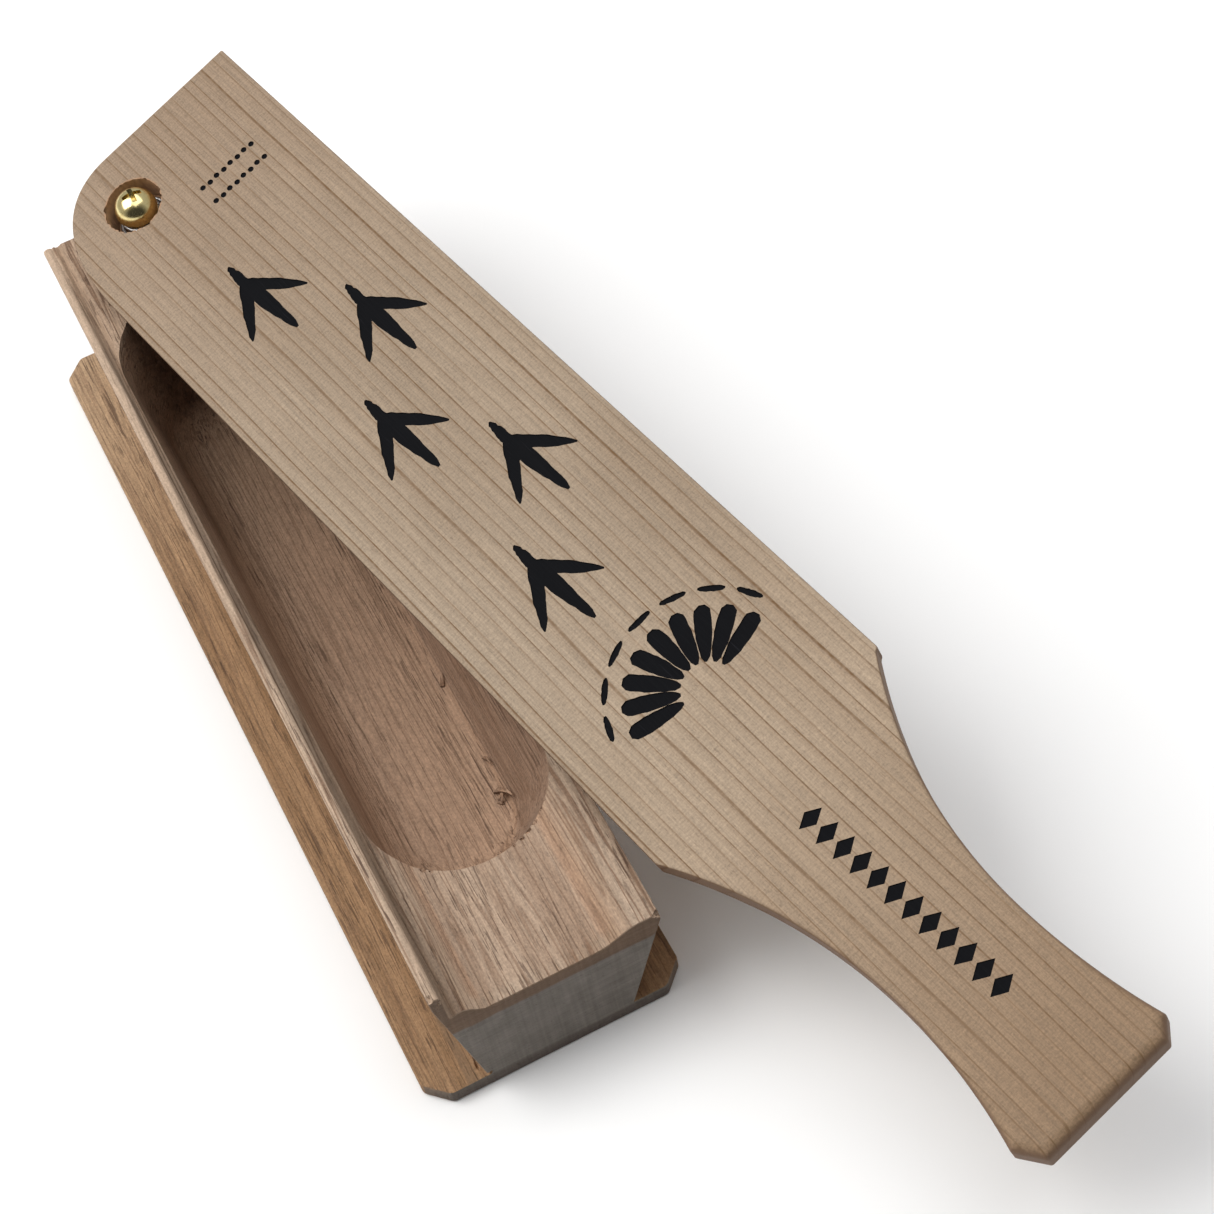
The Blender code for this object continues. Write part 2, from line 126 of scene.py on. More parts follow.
room = bpy.data.worlds.new("room")
room.use_nodes = True
room_nodes = room.node_tree.nodes
room_direction = room_nodes.new("ShaderNodeTexCoord")
room_side = room_nodes.new("ShaderNodeVectorMath")
room_side.operation = "DOT_PRODUCT"
room_side.inputs[1].default_value = (*around(CAMERA_HEADING).xy, ROOM_TILT)
room_shade = room_nodes.new("ShaderNodeMapRange")
for limit, value in ROOM_FADE.items():
    room_shade.inputs[limit].default_value = value
room.node_tree.links.new(room_direction.outputs["Generated"], room_side.inputs[0])
room.node_tree.links.new(room_side.outputs["Value"], room_shade.inputs["Value"])
room.node_tree.links.new(room_shade.outputs[0], room_nodes["Background"].inputs["Strength"])
room_nodes["Background"].inputs["Color"].default_value = ROOM_COLOUR
bpy.context.scene.world = room

table_paint = bpy.data.materials.new("pale_table")
table_paint.use_nodes = True
table_surface = table_paint.node_tree.nodes["Principled BSDF"]
table_surface.inputs["Base Color"].default_value = TABLE_COLOUR
table_surface.inputs["Roughness"].default_value = TABLE_ROUGHNESS
table_shape = bmesh.new()
bmesh.ops.create_grid(table_shape, x_segments=1, y_segments=1, size=TABLE_SIZE / 2)
table = mesh_object("table", table_shape)
table.location.z = -TABLE_DROP
table.data.materials.append(table_paint)


# ----------------------------------------
# The sound box: one block of open-pored brown hardwood, milled all over and left bare. Its left
# wall rises into a thin striking lip, its sides are undercut down to a base flange, the deck
# slopes to the handle end, where it is dished, and a tapered chamber is milled out of it.

box_low, box_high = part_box("sound_box")
BOX_FAR = box_low.x
BOX_NEAR = box_high.x
BASE_HALF_WIDTH = box_high.y
LIP_TOP = box_high.z
BASE_THICKNESS = 0.0034
BASE_CORNER_CLIP = 0.0042
BASE_CORNER_RADIUS = 0.0016
BASE_CORNER_STEPS = 6
BASE_EDGE = 0.0004
BASE_EDGE_SHARE = 0.3
LEFT_FOOT = -0.0141
RIGHT_FOOT = 0.0149
LEFT_UNDERCUT = 0.168
RIGHT_UNDERCUT = 0.30
LIP_OUTER = -0.01975
LIP_INNER = -0.0175
LIP_OUTER_EDGE = ((0.00015, 0.0004), (0.0005, 0.0001), (0.0010, 0.0), (0.0015, 0.0001))
LIP_INNER_EDGE = (0.0019, 0.0004)
LIP_FOOT = ((0.0002, 0.0001), (0.0005, 0.0004), (0.0009, 0.0005), (0.0013, 0.0003))
RIGHT_SIDE = 0.0230
RIGHT_SIDE_FOOT = 0.0271
DECK_HEIGHT_FAR = 0.0369
DECK_SLOPE = 0.0387
DECK_START = 0.0018
DECK_POINTS = 32
DECK_RIPPLE = 0.00004
RIGHT_EDGE_WEAR = 0.00020
DISH_START = 0.0500
DISH_DEPTH = 0.0028
DISH_LEFT = (-0.0146, -0.0106)
DISH_RIGHT = (0.0108, 0.0188)
STATION_STEP = 0.0020
END_EDGE = 0.00015
LIP_WAVER = 0.00012
SLOW_WAVES = 90
QUICK_WAVES = 420
CHAMBER_FLOOR = 0.0081
CHAMBER_FILLET = 0.0060
CHAMBER_RIGHT_FILLET = 0.0016
CHAMBER_TOP = 0.0416
CHAMBER_ENDS = (-0.0660, 0.0665)
CHAMBER_END_TAPER = 0.415
CHAMBER_LEFT = -0.0118
CHAMBER_LEFT_TAPER = 0.174
CHAMBER_RIGHT = 0.0132
CHAMBER_RIGHT_TAPER = 0.330
CHAMBER_RIGHT_LIMIT = 0.0200
CHAMBER_ARC_STEPS = 48
CHAMBER_RINGS = 26
CHAMBER_FILLET_RINGS = 12
TORN_GRAIN = 0.00030
TORN_GRAIN_PITCH = 700
TORN_NEAR_END = 0.3
TORN_FAR_END = 1.0
PILOT_RADIUS = 0.0024
PILOT_BOTTOM = 0.0161
PILOT_TOP = PILOT_BOTTOM + 0.04
MM = 0.001
SMOOTH_ANGLE = math.radians(32)


def smooth_step(low, high, value):
    t = min(max((value - low) / (high - low), 0.0), 1.0)
    return t * t * (3 - 2 * t)


def loft(name, rings):
    """Closed solid through rings of points that all have the same count."""
    shape = bmesh.new()
    rows = [[shape.verts.new(point) for point in ring] for ring in rings]
    count = len(rows[0])
    for lower, upper in zip(rows, rows[1:]):
        for index in range(count):
            following = (index + 1) % count
            shape.faces.new((lower[index], lower[following], upper[following], upper[index]))
    shape.faces.new(rows[0])
    shape.faces.new(rows[-1])
    return mesh_object(name, shape)


def cylinder(name, radius, low, high, segments, centre=(0.0, 0.0)):
    shape = bmesh.new()
    bmesh.ops.create_cone(shape, cap_ends=True, segments=segments, radius1=radius, radius2=radius,
                          depth=high - low)
    bmesh.ops.translate(shape, verts=shape.verts, vec=(*centre, (low + high) / 2))
    return mesh_object(name, shape)


def apply_modifiers(target):
    evaluated = target.evaluated_get(bpy.context.evaluated_depsgraph_get())
    mesh = bpy.data.meshes.new_from_object(evaluated)
    target.modifiers.clear()
    target.data = mesh
    return target


def cut(target, tool, operation="DIFFERENCE", crossing=False):
    """Cuts, or joins, the tool and removes it. A crossing tool is made of pieces that overlap."""
    modifier = target.modifiers.new("cut", "BOOLEAN")
    modifier.operation = operation
    modifier.solver = "EXACT"
    modifier.use_self = crossing
    modifier.object = tool
    if tool.data.materials:
        modifier.material_mode = "TRANSFER"
    bpy.context.view_layer.update()
    apply_modifiers(target)
    bpy.data.objects.remove(tool, do_unlink=True)
    return target


def shade(piece, angle=SMOOTH_ANGLE):
    piece.data.shade_smooth()
    piece.data.set_sharp_from_angle(angle=angle)
    return piece


def deck_height(x):
    return DECK_HEIGHT_FAR - DECK_SLOPE * (x - BOX_FAR)


def dish_drop(x, y):
    """How far the deck is milled down at the handle end."""
    if x < DISH_START:
        return 0.0
    left = smooth_step(DISH_LEFT[0], DISH_LEFT[1], y)
    right = 1 - smooth_step(DISH_RIGHT[0], DISH_RIGHT[1], y)
    return DISH_DEPTH * min(left, right)


def waver(x, seed, size):
    """Slow unevenness along the box, from milling and handling."""
    slow = noise.noise(Vector((x * SLOW_WAVES, seed, 0.3)))
    quick = noise.noise(Vector((x * QUICK_WAVES, seed, 7.7)))
    return size * (0.6 * slow + 0.4 * quick)


def wall_section(x):
    """The walls' outline across the box at x: left foot, lip, deck, right foot."""
    deck = deck_height(x)
    wear = abs(waver(x, 1.0, LIP_WAVER))
    side = waver(x, 4.0, LIP_WAVER)
    crest = LIP_TOP - wear
    outline = [(LEFT_FOOT, BASE_THICKNESS / 2), (LEFT_FOOT, BASE_THICKNESS + 0.0003),
               (LEFT_FOOT - 0.0002, BASE_THICKNESS + 0.0010)]
    outline += [(LIP_OUTER + 0.0002, LIP_TOP - 0.0034), (LIP_OUTER + 0.00005, LIP_TOP - 0.0010)]
    outline += [(LIP_OUTER + across, crest - down) for across, down in LIP_OUTER_EDGE]
    outline.append((LIP_OUTER + LIP_INNER_EDGE[0] + side, crest - LIP_INNER_EDGE[1]))
    inner = LIP_INNER + side
    outline.append((inner - 0.0001, max(deck - 0.0001, crest - 0.0010)))
    outline += [(inner + across, deck - down) for across, down in LIP_FOOT]
    start = inner + DECK_START
    span = RIGHT_SIDE - 0.0005 - start
    for step in range(DECK_POINTS):
        y = start + span * step / (DECK_POINTS - 1)
        dip = waver(x + y * 3, 9.0, DECK_RIPPLE)
        outline.append((y, deck - dish_drop(x, y) - abs(dip)))
    edge = abs(waver(x, 12.0, RIGHT_EDGE_WEAR))
    outline += [(RIGHT_SIDE - 0.0002 - edge, deck - 0.00012), (RIGHT_SIDE - edge, deck - 0.0004),
                (RIGHT_SIDE, RIGHT_SIDE_FOOT), (RIGHT_SIDE - 0.0003, RIGHT_SIDE_FOOT - 0.0009)]
    outline += [(RIGHT_FOOT + 0.0003, BASE_THICKNESS + 0.0008), (RIGHT_FOOT, BASE_THICKNESS + 0.0002),
                (RIGHT_FOOT, BASE_THICKNESS / 2)]
    return outline


def drawn_in(outline, distance):
    """The same outline with its corners moved inwards, for the small chamfer round an end face."""
    moved = []
    count = len(outline)
    for index, (y, z) in enumerate(outline):
        before = Vector(outline[index - 1])
        after = Vector(outline[(index + 1) % count])
        along = (after - before).normalized()
        moved.append((y + along.y * distance, z - along.x * distance))
    return moved


def base_outline(draw):
    """The base plate, drawn in a little: its corners are cut off at 45 degrees and the cuts rounded."""
    half_length = BOX_NEAR - draw
    half_width = BASE_HALF_WIDTH - draw
    outline = []
    for quarter, (sx, sy) in enumerate(((1, 1), (-1, 1), (-1, -1), (1, -1))):
        corners = [Vector((sx * half_length, sy * (half_width - BASE_CORNER_CLIP))),
                   Vector((sx * (half_length - BASE_CORNER_CLIP), sy * half_width))]
        if quarter % 2:
            corners.reverse()
        for index, corner in enumerate(corners):
            middle = (quarter + 0.25 + 0.5 * index) * math.pi / 2
            inwards = around(middle).xy * (BASE_CORNER_RADIUS / math.cos(math.pi / 8))
            centre = corner - inwards
            for step in range(BASE_CORNER_STEPS + 1):
                angle = middle + math.pi / 4 * (step / BASE_CORNER_STEPS - 0.5)
                outline.append(tuple(centre + BASE_CORNER_RADIUS * around(angle).xy))
    return outline


def chamber_ring(height):
    """The chamber's outline at a height. Its round ends are torn where they cut end grain."""
    rise = height - CHAMBER_FLOOR

    def inset(fillet):
        if rise >= fillet:
            return 0.0
        return fillet - math.sqrt(fillet ** 2 - (fillet - rise) ** 2)

    far = CHAMBER_ENDS[0] - CHAMBER_END_TAPER * rise + inset(CHAMBER_FILLET)
    near = CHAMBER_ENDS[1] + CHAMBER_END_TAPER * rise - inset(CHAMBER_FILLET)
    left = CHAMBER_LEFT - CHAMBER_LEFT_TAPER * rise + inset(CHAMBER_FILLET)
    right = min(CHAMBER_RIGHT + CHAMBER_RIGHT_TAPER * rise, CHAMBER_RIGHT_LIMIT) - inset(CHAMBER_RIGHT_FILLET)
    radius = (right - left) / 2
    middle = (right + left) / 2
    ring = []
    for centre, start, tear in ((near - radius, -math.pi / 2, TORN_NEAR_END),
                                (far + radius, math.pi / 2, TORN_FAR_END)):
        for step in range(CHAMBER_ARC_STEPS + 1):
            angle = start + math.pi * step / CHAMBER_ARC_STEPS
            spot = Vector((centre + radius * math.cos(angle), middle + radius * math.sin(angle), height))
            torn = TORN_GRAIN * tear * abs(math.cos(angle)) * noise.noise(spot * TORN_GRAIN_PITCH)
            spot += torn * around(angle)
            ring.append(spot)
    return ring


def chamber_cutter():
    rings = []
    for step in range(CHAMBER_FILLET_RINGS):
        turn = math.pi / 2 * (step + 0.05) / CHAMBER_FILLET_RINGS
        rings.append(chamber_ring(CHAMBER_FLOOR + CHAMBER_FILLET * (1 - math.cos(turn))))
    start = CHAMBER_FLOOR + CHAMBER_FILLET
    for step in range(CHAMBER_RINGS + 1):
        rings.append(chamber_ring(start + (CHAMBER_TOP - start) * step / CHAMBER_RINGS))
    return loft("chamber_cutter", rings)


CHIP_LUMPS = ((1.6, 0.45), (4.5, 0.22))


def chip_cutters(name, chips, seed):
    """Small irregular lumps, each at (x, y, z) with a length along the grain and a width, in millimetres."""
    rng = random.Random(seed)
    shape = bmesh.new()
    for x, y, z, length, width in chips:
        offset = Vector((rng.uniform(0, 9), rng.uniform(0, 9), rng.uniform(0, 9)))
        grown = bmesh.ops.create_icosphere(shape, subdivisions=3, radius=1.0)["verts"]
        for vert in grown:
            lump = sum((size * noise.noise(vert.co * pitch + offset) for pitch, size in CHIP_LUMPS), 1.0)
            vert.co = Vector((vert.co.x * length, vert.co.y * width, vert.co.z * width)) * lump * (MM / 2)
            vert.co += Vector((x, y, z)) * MM
    return mesh_object(name, shape)


station_count = int((BOX_NEAR - BOX_FAR) / STATION_STEP + 0.5)
stations = [BOX_FAR + STATION_STEP * step for step in range(station_count + 1)]
stations[0] += END_EDGE
stations[-1] -= END_EDGE
sections = [[(BOX_FAR, y, z) for y, z in drawn_in(wall_section(BOX_FAR), END_EDGE)]]
sections += [[(x, y, z) for y, z in wall_section(x)] for x in stations]
sections.append([(BOX_NEAR, y, z) for y, z in drawn_in(wall_section(BOX_NEAR), END_EDGE)])
sound_box = loft("milled_sound_box", sections)

base_rings = []
eased = BASE_EDGE * BASE_EDGE_SHARE
for height, draw in ((0.0, BASE_EDGE), (eased, eased), (BASE_EDGE, 0.0), (BASE_THICKNESS - BASE_EDGE, 0.0),
                     (BASE_THICKNESS - eased, eased), (BASE_THICKNESS, BASE_EDGE)):
    base_rings.append([(x, y, height) for x, y in base_outline(draw)])
cut(sound_box, loft("base_plate", base_rings), "UNION")
cut(sound_box, chamber_cutter())

swing_axis = Vector(next(joint for joint in frame["joints"] if joint["name"] == "lid_swing")["pos_m"])
cut(sound_box, cylinder("pilot_cutter", PILOT_RADIUS, PILOT_BOTTOM, PILOT_TOP, 32, swing_axis.xy))

# where milling and use have torn the wood: the corners at both ends, the lip's end, the chamber
box_chips = [(98.4, 23.5, 28.9, 5.0, 1.6), (100.2, 22.7, 28.7, 2.0, 2.2), (93.0, 23.5, 29.7, 3.0, 0.9),
             (99.6, -19.3, 36.9, 2.4, 1.1), (100.0, -17.6, 35.3, 1.6, 1.4), (97.2, -14.9, 3.9, 2.6, 1.7),
             (99.4, -13.9, 4.1, 1.6, 1.5), (-99.3, -25.2, 3.3, 3.0, 2.0), (-79.0, -12.2, 36.1, 2.6, 0.8),
             (-60.4, -9.0, 15.2, 2.2, 2.6), (-62.8, -5.2, 18.4, 1.8, 2.0)]
RIM_CENTRE = Vector((0.0572, 0.0022))
RIM_RADIUS = 0.0174
RIM_CHIP_SUNK = 0.0003
RIM_CHIPS = ((-41, 1.8, 1.2), (-36, 1.2, 0.9), (16, 1.1, 0.9), (22, 1.5, 1.3), (28, 1.3, 1.6), (35, 1.9, 1.5),
             (42, 1.5, 1.8), (49, 2.2, 1.5), (57, 1.9, 1.6), (65, 2.4, 1.3), (74, 2.6, 1.1))
for heading, length, width in RIM_CHIPS:
    spot = RIM_CENTRE + RIM_RADIUS * around(math.radians(heading)).xy
    height = deck_height(spot.x) - dish_drop(spot.x, spot.y) - RIM_CHIP_SUNK
    box_chips.append((spot.x / MM, spot.y / MM, height / MM, length, width))
cut(sound_box, chip_cutters("chip_cutter", box_chips, 11), crossing=True)


# each splinter's root, heading, length, width and lift
SPLINTERS = (((0.0500, 0.0112, 0.0086), 0.45, 0.0046, 0.0016, 0.0026),
             ((0.0532, 0.0106, 0.0086), 2.30, 0.0026, 0.0011, 0.0016),
             ((0.0425, 0.0122, 0.0090), 0.15, 0.0026, 0.0008, 0.0012),
             ((0.0236, 0.0120, 0.0088), 2.80, 0.0028, 0.0008, 0.0010))
SPLINTER_STEPS = 8
SPLINTER_CURL = 1.9
SPLINTER_SUNK = 0.0003
SPLINTER_THICKNESS = 0.00022
SPLINTER_NARROWING = 0.85
SPLINTER_THINNING = 0.7


def splinter(root, heading, length, width, lift):
    """A thin curl of wood that the cutter has raised but not cut off. Its root is in the wood."""
    along = around(heading)
    across = Vector((-along.y, along.x, 0.0))
    rings = []
    for step in range(SPLINTER_STEPS + 1):
        t = step / SPLINTER_STEPS
        raised = Vector((0.0, 0.0, lift * math.sin(SPLINTER_CURL * t) - SPLINTER_SUNK))
        centre = Vector(root) + along * (length * t) + raised
        half = 0.5 * width * (1 - SPLINTER_NARROWING * t)
        thick = Vector((0.0, 0.0, SPLINTER_THICKNESS * (1 - SPLINTER_THINNING * t)))
        rings.append([centre - across * half - thick, centre + across * half - thick,
                      centre + across * half + thick, centre - across * half + thick])
    return loft("splinter", rings)


for sizes in SPLINTERS:
    cut(sound_box, splinter(*sizes), "UNION")


class Value:
    """A shader socket that takes part in arithmetic: every operator adds a Math node."""

    def __init__(self, finish, socket):
        self.finish = finish
        self.socket = socket

    def __add__(self, other):
        return self.finish.math("ADD", self, other)

    __radd__ = __add__

    def __sub__(self, other):
        return self.finish.math("SUBTRACT", self, other)

    def __rsub__(self, other):
        return self.finish.math("SUBTRACT", other, self)

    def __mul__(self, other):
        return self.finish.math("MULTIPLY", self, other)

    __rmul__ = __mul__

    def __truediv__(self, other):
        return self.finish.math("DIVIDE", self, other)


class Finish:
    """A material whose colour, roughness and relief are worked out from nodes."""

    def __init__(self, name):
        self.material = bpy.data.materials.new(name)
        self.material.use_nodes = True
        self.tree = self.material.node_tree
        self.shader = self.tree.nodes["Principled BSDF"]

    def connect(self, socket, value):
        if isinstance(value, Value):
            self.tree.links.new(value.socket, socket)
        elif value is not None:
            socket.default_value = value

    def node(self, kind, inputs, output=0, **settings):
        """Any node: its type, socket values or links, which output is wanted, and its settings."""
        added = self.tree.nodes.new("ShaderNode" + kind)
        for key, value in settings.items():
            setattr(added, key, value)
        for key, value in inputs.items():
            self.connect(added.inputs[key], value)
        return Value(self, added.outputs[output])

    def math(self, operation, *values):
        return self.node("Math", dict(enumerate(values)), operation=operation)

    def clamp(self, value):
        return self.node("Clamp", {"Value": value})

    def step(self, low, high, value):
        """0 below low, 1 above high, smooth between; high may be the smaller one."""
        inputs = {"Value": value, "From Min": low, "From Max": high}
        return self.node("MapRange", inputs, interpolation_type="SMOOTHSTEP")

    def mix(self, amount, first, second):
        """Blends two colours, which are sockets or (r, g, b) values."""
        inputs = {0: amount}
        for index, colour in ((6, first), (7, second)):
            inputs[index] = colour if isinstance(colour, Value) else (*colour, 1.0)
        return self.node("Mix", inputs, 2, data_type="RGBA")

    def darken(self, colour, amount):
        """Multiplies a colour by a number."""
        return self.node("VectorMath", {0: colour, "Scale": amount}, operation="SCALE")

    def noise(self, place, scale, detail=2.0, roughness=0.5):
        """Noise at a place in metres; scale is how many features fit in a metre along X, Y and Z."""
        stretched = self.node("VectorMath", {0: place, 1: scale}, operation="MULTIPLY")
        inputs = {"Vector": stretched, "Scale": 1.0, "Detail": detail, "Roughness": roughness}
        return self.node("TexNoise", inputs)

    def split(self, vector):
        parts = self.tree.nodes.new("ShaderNodeSeparateXYZ")
        self.connect(parts.inputs[0], vector)
        return [Value(self, output) for output in parts.outputs]

    def join(self, x, y, z):
        return self.node("CombineXYZ", {0: x, 1: y, 2: z})

    def place(self):
        return self.node("TexCoord", {}, "Object")

    def facing(self):
        return self.node("TexCoord", {}, "Normal")

    def finish(self, colour, roughness, height, strength, depth, metallic=0.0, gloss=0.5):
        self.connect(self.shader.inputs["Base Color"], colour)
        self.connect(self.shader.inputs["Roughness"], roughness)
        self.shader.inputs["Metallic"].default_value = metallic
        self.shader.inputs["Specular IOR Level"].default_value = gloss
        bump = self.node("Bump", {"Height": height, "Strength": strength, "Distance": depth})
        self.connect(self.shader.inputs["Normal"], bump)
        return self.material


def box_wood():
    """Brown hardwood with dark pores along the grain, grey end grain, and a more orange base, with painted
    light on the chamber floor and painted shade on its right wall, its far end and the lip's inner face.
    """
    wood = Finish("open_pored_hardwood")
    mix, step = wood.mix, wood.step
    place = wood.place()
    x, y, z = wood.split(place)
    nx, ny, nz = wood.split(wood.facing())
    drift = wood.noise(place, (14, 70, 70), 1.0) - 0.5
    grain = wood.join(x, y + drift * 0.0022, z + drift * 0.0016)

    broad = wood.noise(grain, (6, 230, 210), 2.0, 0.6)
    streak = wood.math("ABSOLUTE", wood.noise(grain, (9, 620, 620), 1.0, 0.5) - 0.5)
    fibre = wood.noise(grain, (260, 2400, 2400), 2.0, 0.7)
    speckle = wood.noise(place, (1900, 2300, 2300), 1.0, 0.7)
    patch = step(0.38, 0.62, wood.noise(grain, (9, 200, 200), 2.0))
    pore = step(0.61, 0.67, wood.noise(grain, (130, 2500, 2500), 1.0)) * (0.30 + 0.70 * patch)

    end = step(0.45, 0.80, wood.math("ABSOLUTE", nx))
    deck_here = DECK_HEIGHT_FAR - DECK_SLOPE * (x - BOX_FAR)
    under_deck = step(0.0004, 0.0024, deck_here - z)
    right_of_wall = step(0.0010, 0.0020, y - (LEFT_FOOT - LEFT_UNDERCUT * (z - BASE_THICKNESS)))
    left_of_wall = step(0.0010, 0.0020, (RIGHT_FOOT + RIGHT_UNDERCUT * (z - BASE_THICKNESS)) - y)
    between_ends = step(0.0985, 0.0965, wood.math("ABSOLUTE", x))
    above_floor = step(0.0060, 0.0070, z)
    inside = under_deck * right_of_wall * left_of_wall * between_ends * above_floor
    low_down = step(0.0100, 0.0030, z)
    on_lip = step(LIP_INNER + 0.0004, LIP_INNER - 0.0004, y) * step(0.018, 0.026, z)
    # painted shade: the lip's inner face and the deck at its foot, which the lip shades, are painted darker
    # below
    lip_foot_painted_shade = step(LIP_INNER + 0.0022, LIP_INNER + 0.0006, y)
    lip_foot_painted_shade = lip_foot_painted_shade * step(LIP_TOP - 0.0002, LIP_TOP - 0.0016, z)
    lip_foot_painted_shade = lip_foot_painted_shade * step(LIP_INNER - 0.0008, LIP_INNER - 0.0002, y)

    tan = mix(step(0.32, 0.70, broad), (0.325, 0.218, 0.144), (0.450, 0.328, 0.238))
    orange = mix(step(0.30, 0.70, broad), (0.235, 0.134, 0.066), (0.345, 0.208, 0.112))
    tan = mix(low_down, tan, orange)
    tan = mix(inside * 0.70, tan, (0.335, 0.200, 0.125))
    # painted light: faces that look up inside the chamber are painted lighter, standing in for the light
    # along its floor
    floor_painted_light = inside * step(0.86, 0.985, nz)
    tan = mix(floor_painted_light * 0.60, tan, (0.430, 0.285, 0.195))
    on_deck = step(0.0040, 0.0032, deck_here - z) * step(0.93, 0.98, nz) * (1 - low_down)
    grey_tan = mix(step(0.34, 0.66, broad), (0.258, 0.180, 0.126), (0.392, 0.298, 0.220))
    tan = mix(on_deck * (0.15 + 0.50 * step(-0.050, 0.030, x)), tan, grey_tan)
    crest = on_lip * step(LIP_TOP - 0.0014, LIP_TOP - 0.0005, z)
    tan = mix(crest * 0.60, tan, (0.500, 0.375, 0.275))
    # painted shade: the chamber's right wall, which faces left, is painted darker and greyer
    right_wall_painted_shade = inside * step(-0.30, -0.55, ny) * step(0.82, 0.72, nz)
    tan = mix(right_wall_painted_shade * 0.40, tan, (0.205, 0.142, 0.108))
    far_flange = low_down * step(-0.010, -0.090, x)
    tan = mix(far_flange * 0.60, tan, (0.490, 0.345, 0.220))
    dark_line = step(0.060, 0.008, streak) * (0.75 - 0.40 * low_down - 0.25 * inside)
    tan = mix(dark_line * step(0.30, 0.55, fibre + 0.3 * patch), tan, (0.165, 0.092, 0.054))
    tan = wood.darken(tan, 0.16 + 0.95 * fibre + 0.75 * speckle)
    tan = mix(pore * (1 - end) * (0.62 + 0.20 * on_lip), tan, (0.075, 0.040, 0.026))
    # painted shade along the lip's inner face and foot
    tan = mix(lip_foot_painted_shade * 0.45, tan, (0.130, 0.092, 0.062))

    saw = wood.noise(place, (40, 1500, 30), 1.0) * 0.5 + wood.noise(place, (40, 30, 1500), 1.0) * 0.5
    rings = wood.noise(place, (10, 240, 190), 2.0, 0.5)
    end_grey = mix(step(0.30, 0.70, rings), (0.172, 0.151, 0.130), (0.206, 0.182, 0.159))
    end_top = step(0.0066, 0.0056, deck_here - z + 0.0010 * (rings - 0.5))
    end_grey = mix(end_top * 0.9, end_grey, (0.165, 0.104, 0.066))
    end_grey = mix(step(0.0040, 0.0022, z) * 0.6, end_grey, (0.085, 0.062, 0.048))
    end_grey = wood.darken(end_grey, 0.55 + 0.90 * saw)
    end_hole = step(0.66, 0.74, wood.noise(place, (300, 1100, 1100), 1.0))
    end_grey = mix(end_hole * 0.25, end_grey, (0.045, 0.032, 0.024))
    torn = wood.noise(place, (600, 700, 500), 4.0, 0.7)
    # inside the chamber the end grain is painted a darker, torn colour: partly the torn grain's own colour,
    # partly painted shade, strongest at the far end under the lid and weaker at the near end
    torn_grain_and_shade = mix(step(0.30, 0.70, torn), (0.085, 0.044, 0.027), (0.240, 0.140, 0.088))
    chamber_end_grain_and_shade = mix(inside * (0.45 + 0.45 * step(0.02, -0.05, x)), end_grey, torn_grain_and_shade)
    colour = mix(end * (1 - 0.55 * inside * step(0.0, 0.05, x)), tan, chamber_end_grain_and_shade)

    worn = step(0.30, 0.55, nz) * step(0.97, 0.80, nz) * (1 - under_deck)
    colour = mix(worn * 0.35, colour, (0.450, 0.330, 0.240))
    roughness = wood.clamp(0.66 + 0.18 * fibre + 0.12 * end)
    relief = fibre * 0.4 + step(0.0, 0.06, streak) * 0.5 + speckle * 0.3 - pore * 0.9
    relief = relief + end * (saw * 0.8 + torn * 0.5 * inside)
    return wood.finish(colour, roughness, relief, 0.6, 0.00022, gloss=0.25)


shade(sound_box)
sound_box.data.materials.clear()
sound_box.data.materials.append(box_wood())
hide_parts("sound_box")
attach(sound_box, "box")


# ----------------------------------------
# The paddle lid: one board of pale straight-grained wood, its edges sawn, its handle rounded over
# and waisted, with a drilled counterbore for the pivot screw. Bird tracks, a fan, two rows of dots
# and a row of diamonds are cut shallowly into the top and inked black.

LID_FAR_END = -0.0144
LID_LEFT = -0.01755
LID_RIGHT = 0.03605
LID_SHOULDER = 0.1873
LID_THICKNESS = 0.0091
LID_FACET_TAPER = 0.2400
LID_FACET_WIDTH = 0.0175
HANDLE_THICKNESS = 0.0062
HANDLE_START = 0.2060
HANDLE_COVE_RADIUS = 0.0300
HANDLE_COVE_STEPS = 16
HANDLE_END = 0.2699
HANDLE_END_SIDES = (-0.0058, 0.0210)
HANDLE_LEFT_CORNER = 0.2648
HANDLE_RIGHT_CORNER = 0.2667
FAR_CORNER = ((0.018, LID_LEFT), (0.002, -0.0179), (-0.0146, -0.0135), (LID_FAR_END, 0.003))
SHOULDER_BREAK = 0.0004
RIGHT_NECK = {"centre": 0.2370, "side": 0.0203, "shoulder_radius": 0.0900, "flare_radius": 0.1250}
LEFT_NECK = {"centre": 0.2360, "side": -0.0052, "shoulder_radius": 0.1030, "flare_radius": 0.1060}
NECK_STEPS = 40
CORNER_STEPS = 28
COUNTERBORE_RADIUS = 0.0062
COUNTERBORE_DEPTH = 0.0066
BORE_STEPS = 120
BORE_TEAR = 0.00065
BORE_TEAR_PITCHES = (3.1, 9.0)
BORE_TEAR_FINE = 0.6
BORE_TEAR_BIAS = 0.15
BORE_TORN_SHARES = ((-0.0022, 0.0), (-0.0010, 0.35), (-0.0003, 1.0))
LID_HOLE_RADIUS = 0.0046
LID_TOP_OVER_PIVOT = 0.0467
LID_ATTITUDE = Euler((0.2638, 0.0388, 0.2259), "XYZ")
ROCK_DEPTH = 0.00175
WIDEST_ROUNDING = 0.0024
ROUNDING_STEPS = 5
BOARD_ROUNDING = 0.14
UNDERSIDE_ROUNDING = 0.15
HANDLE_ROUNDING = 0.26
HANDLE_END_ROUNDING = 0.58
INK_DEPTH = 0.00022
INK_DEPTH_STEP = 0.000004
INK_CUTTER_TOP = 0.0006
CUT_MARGIN = 0.010

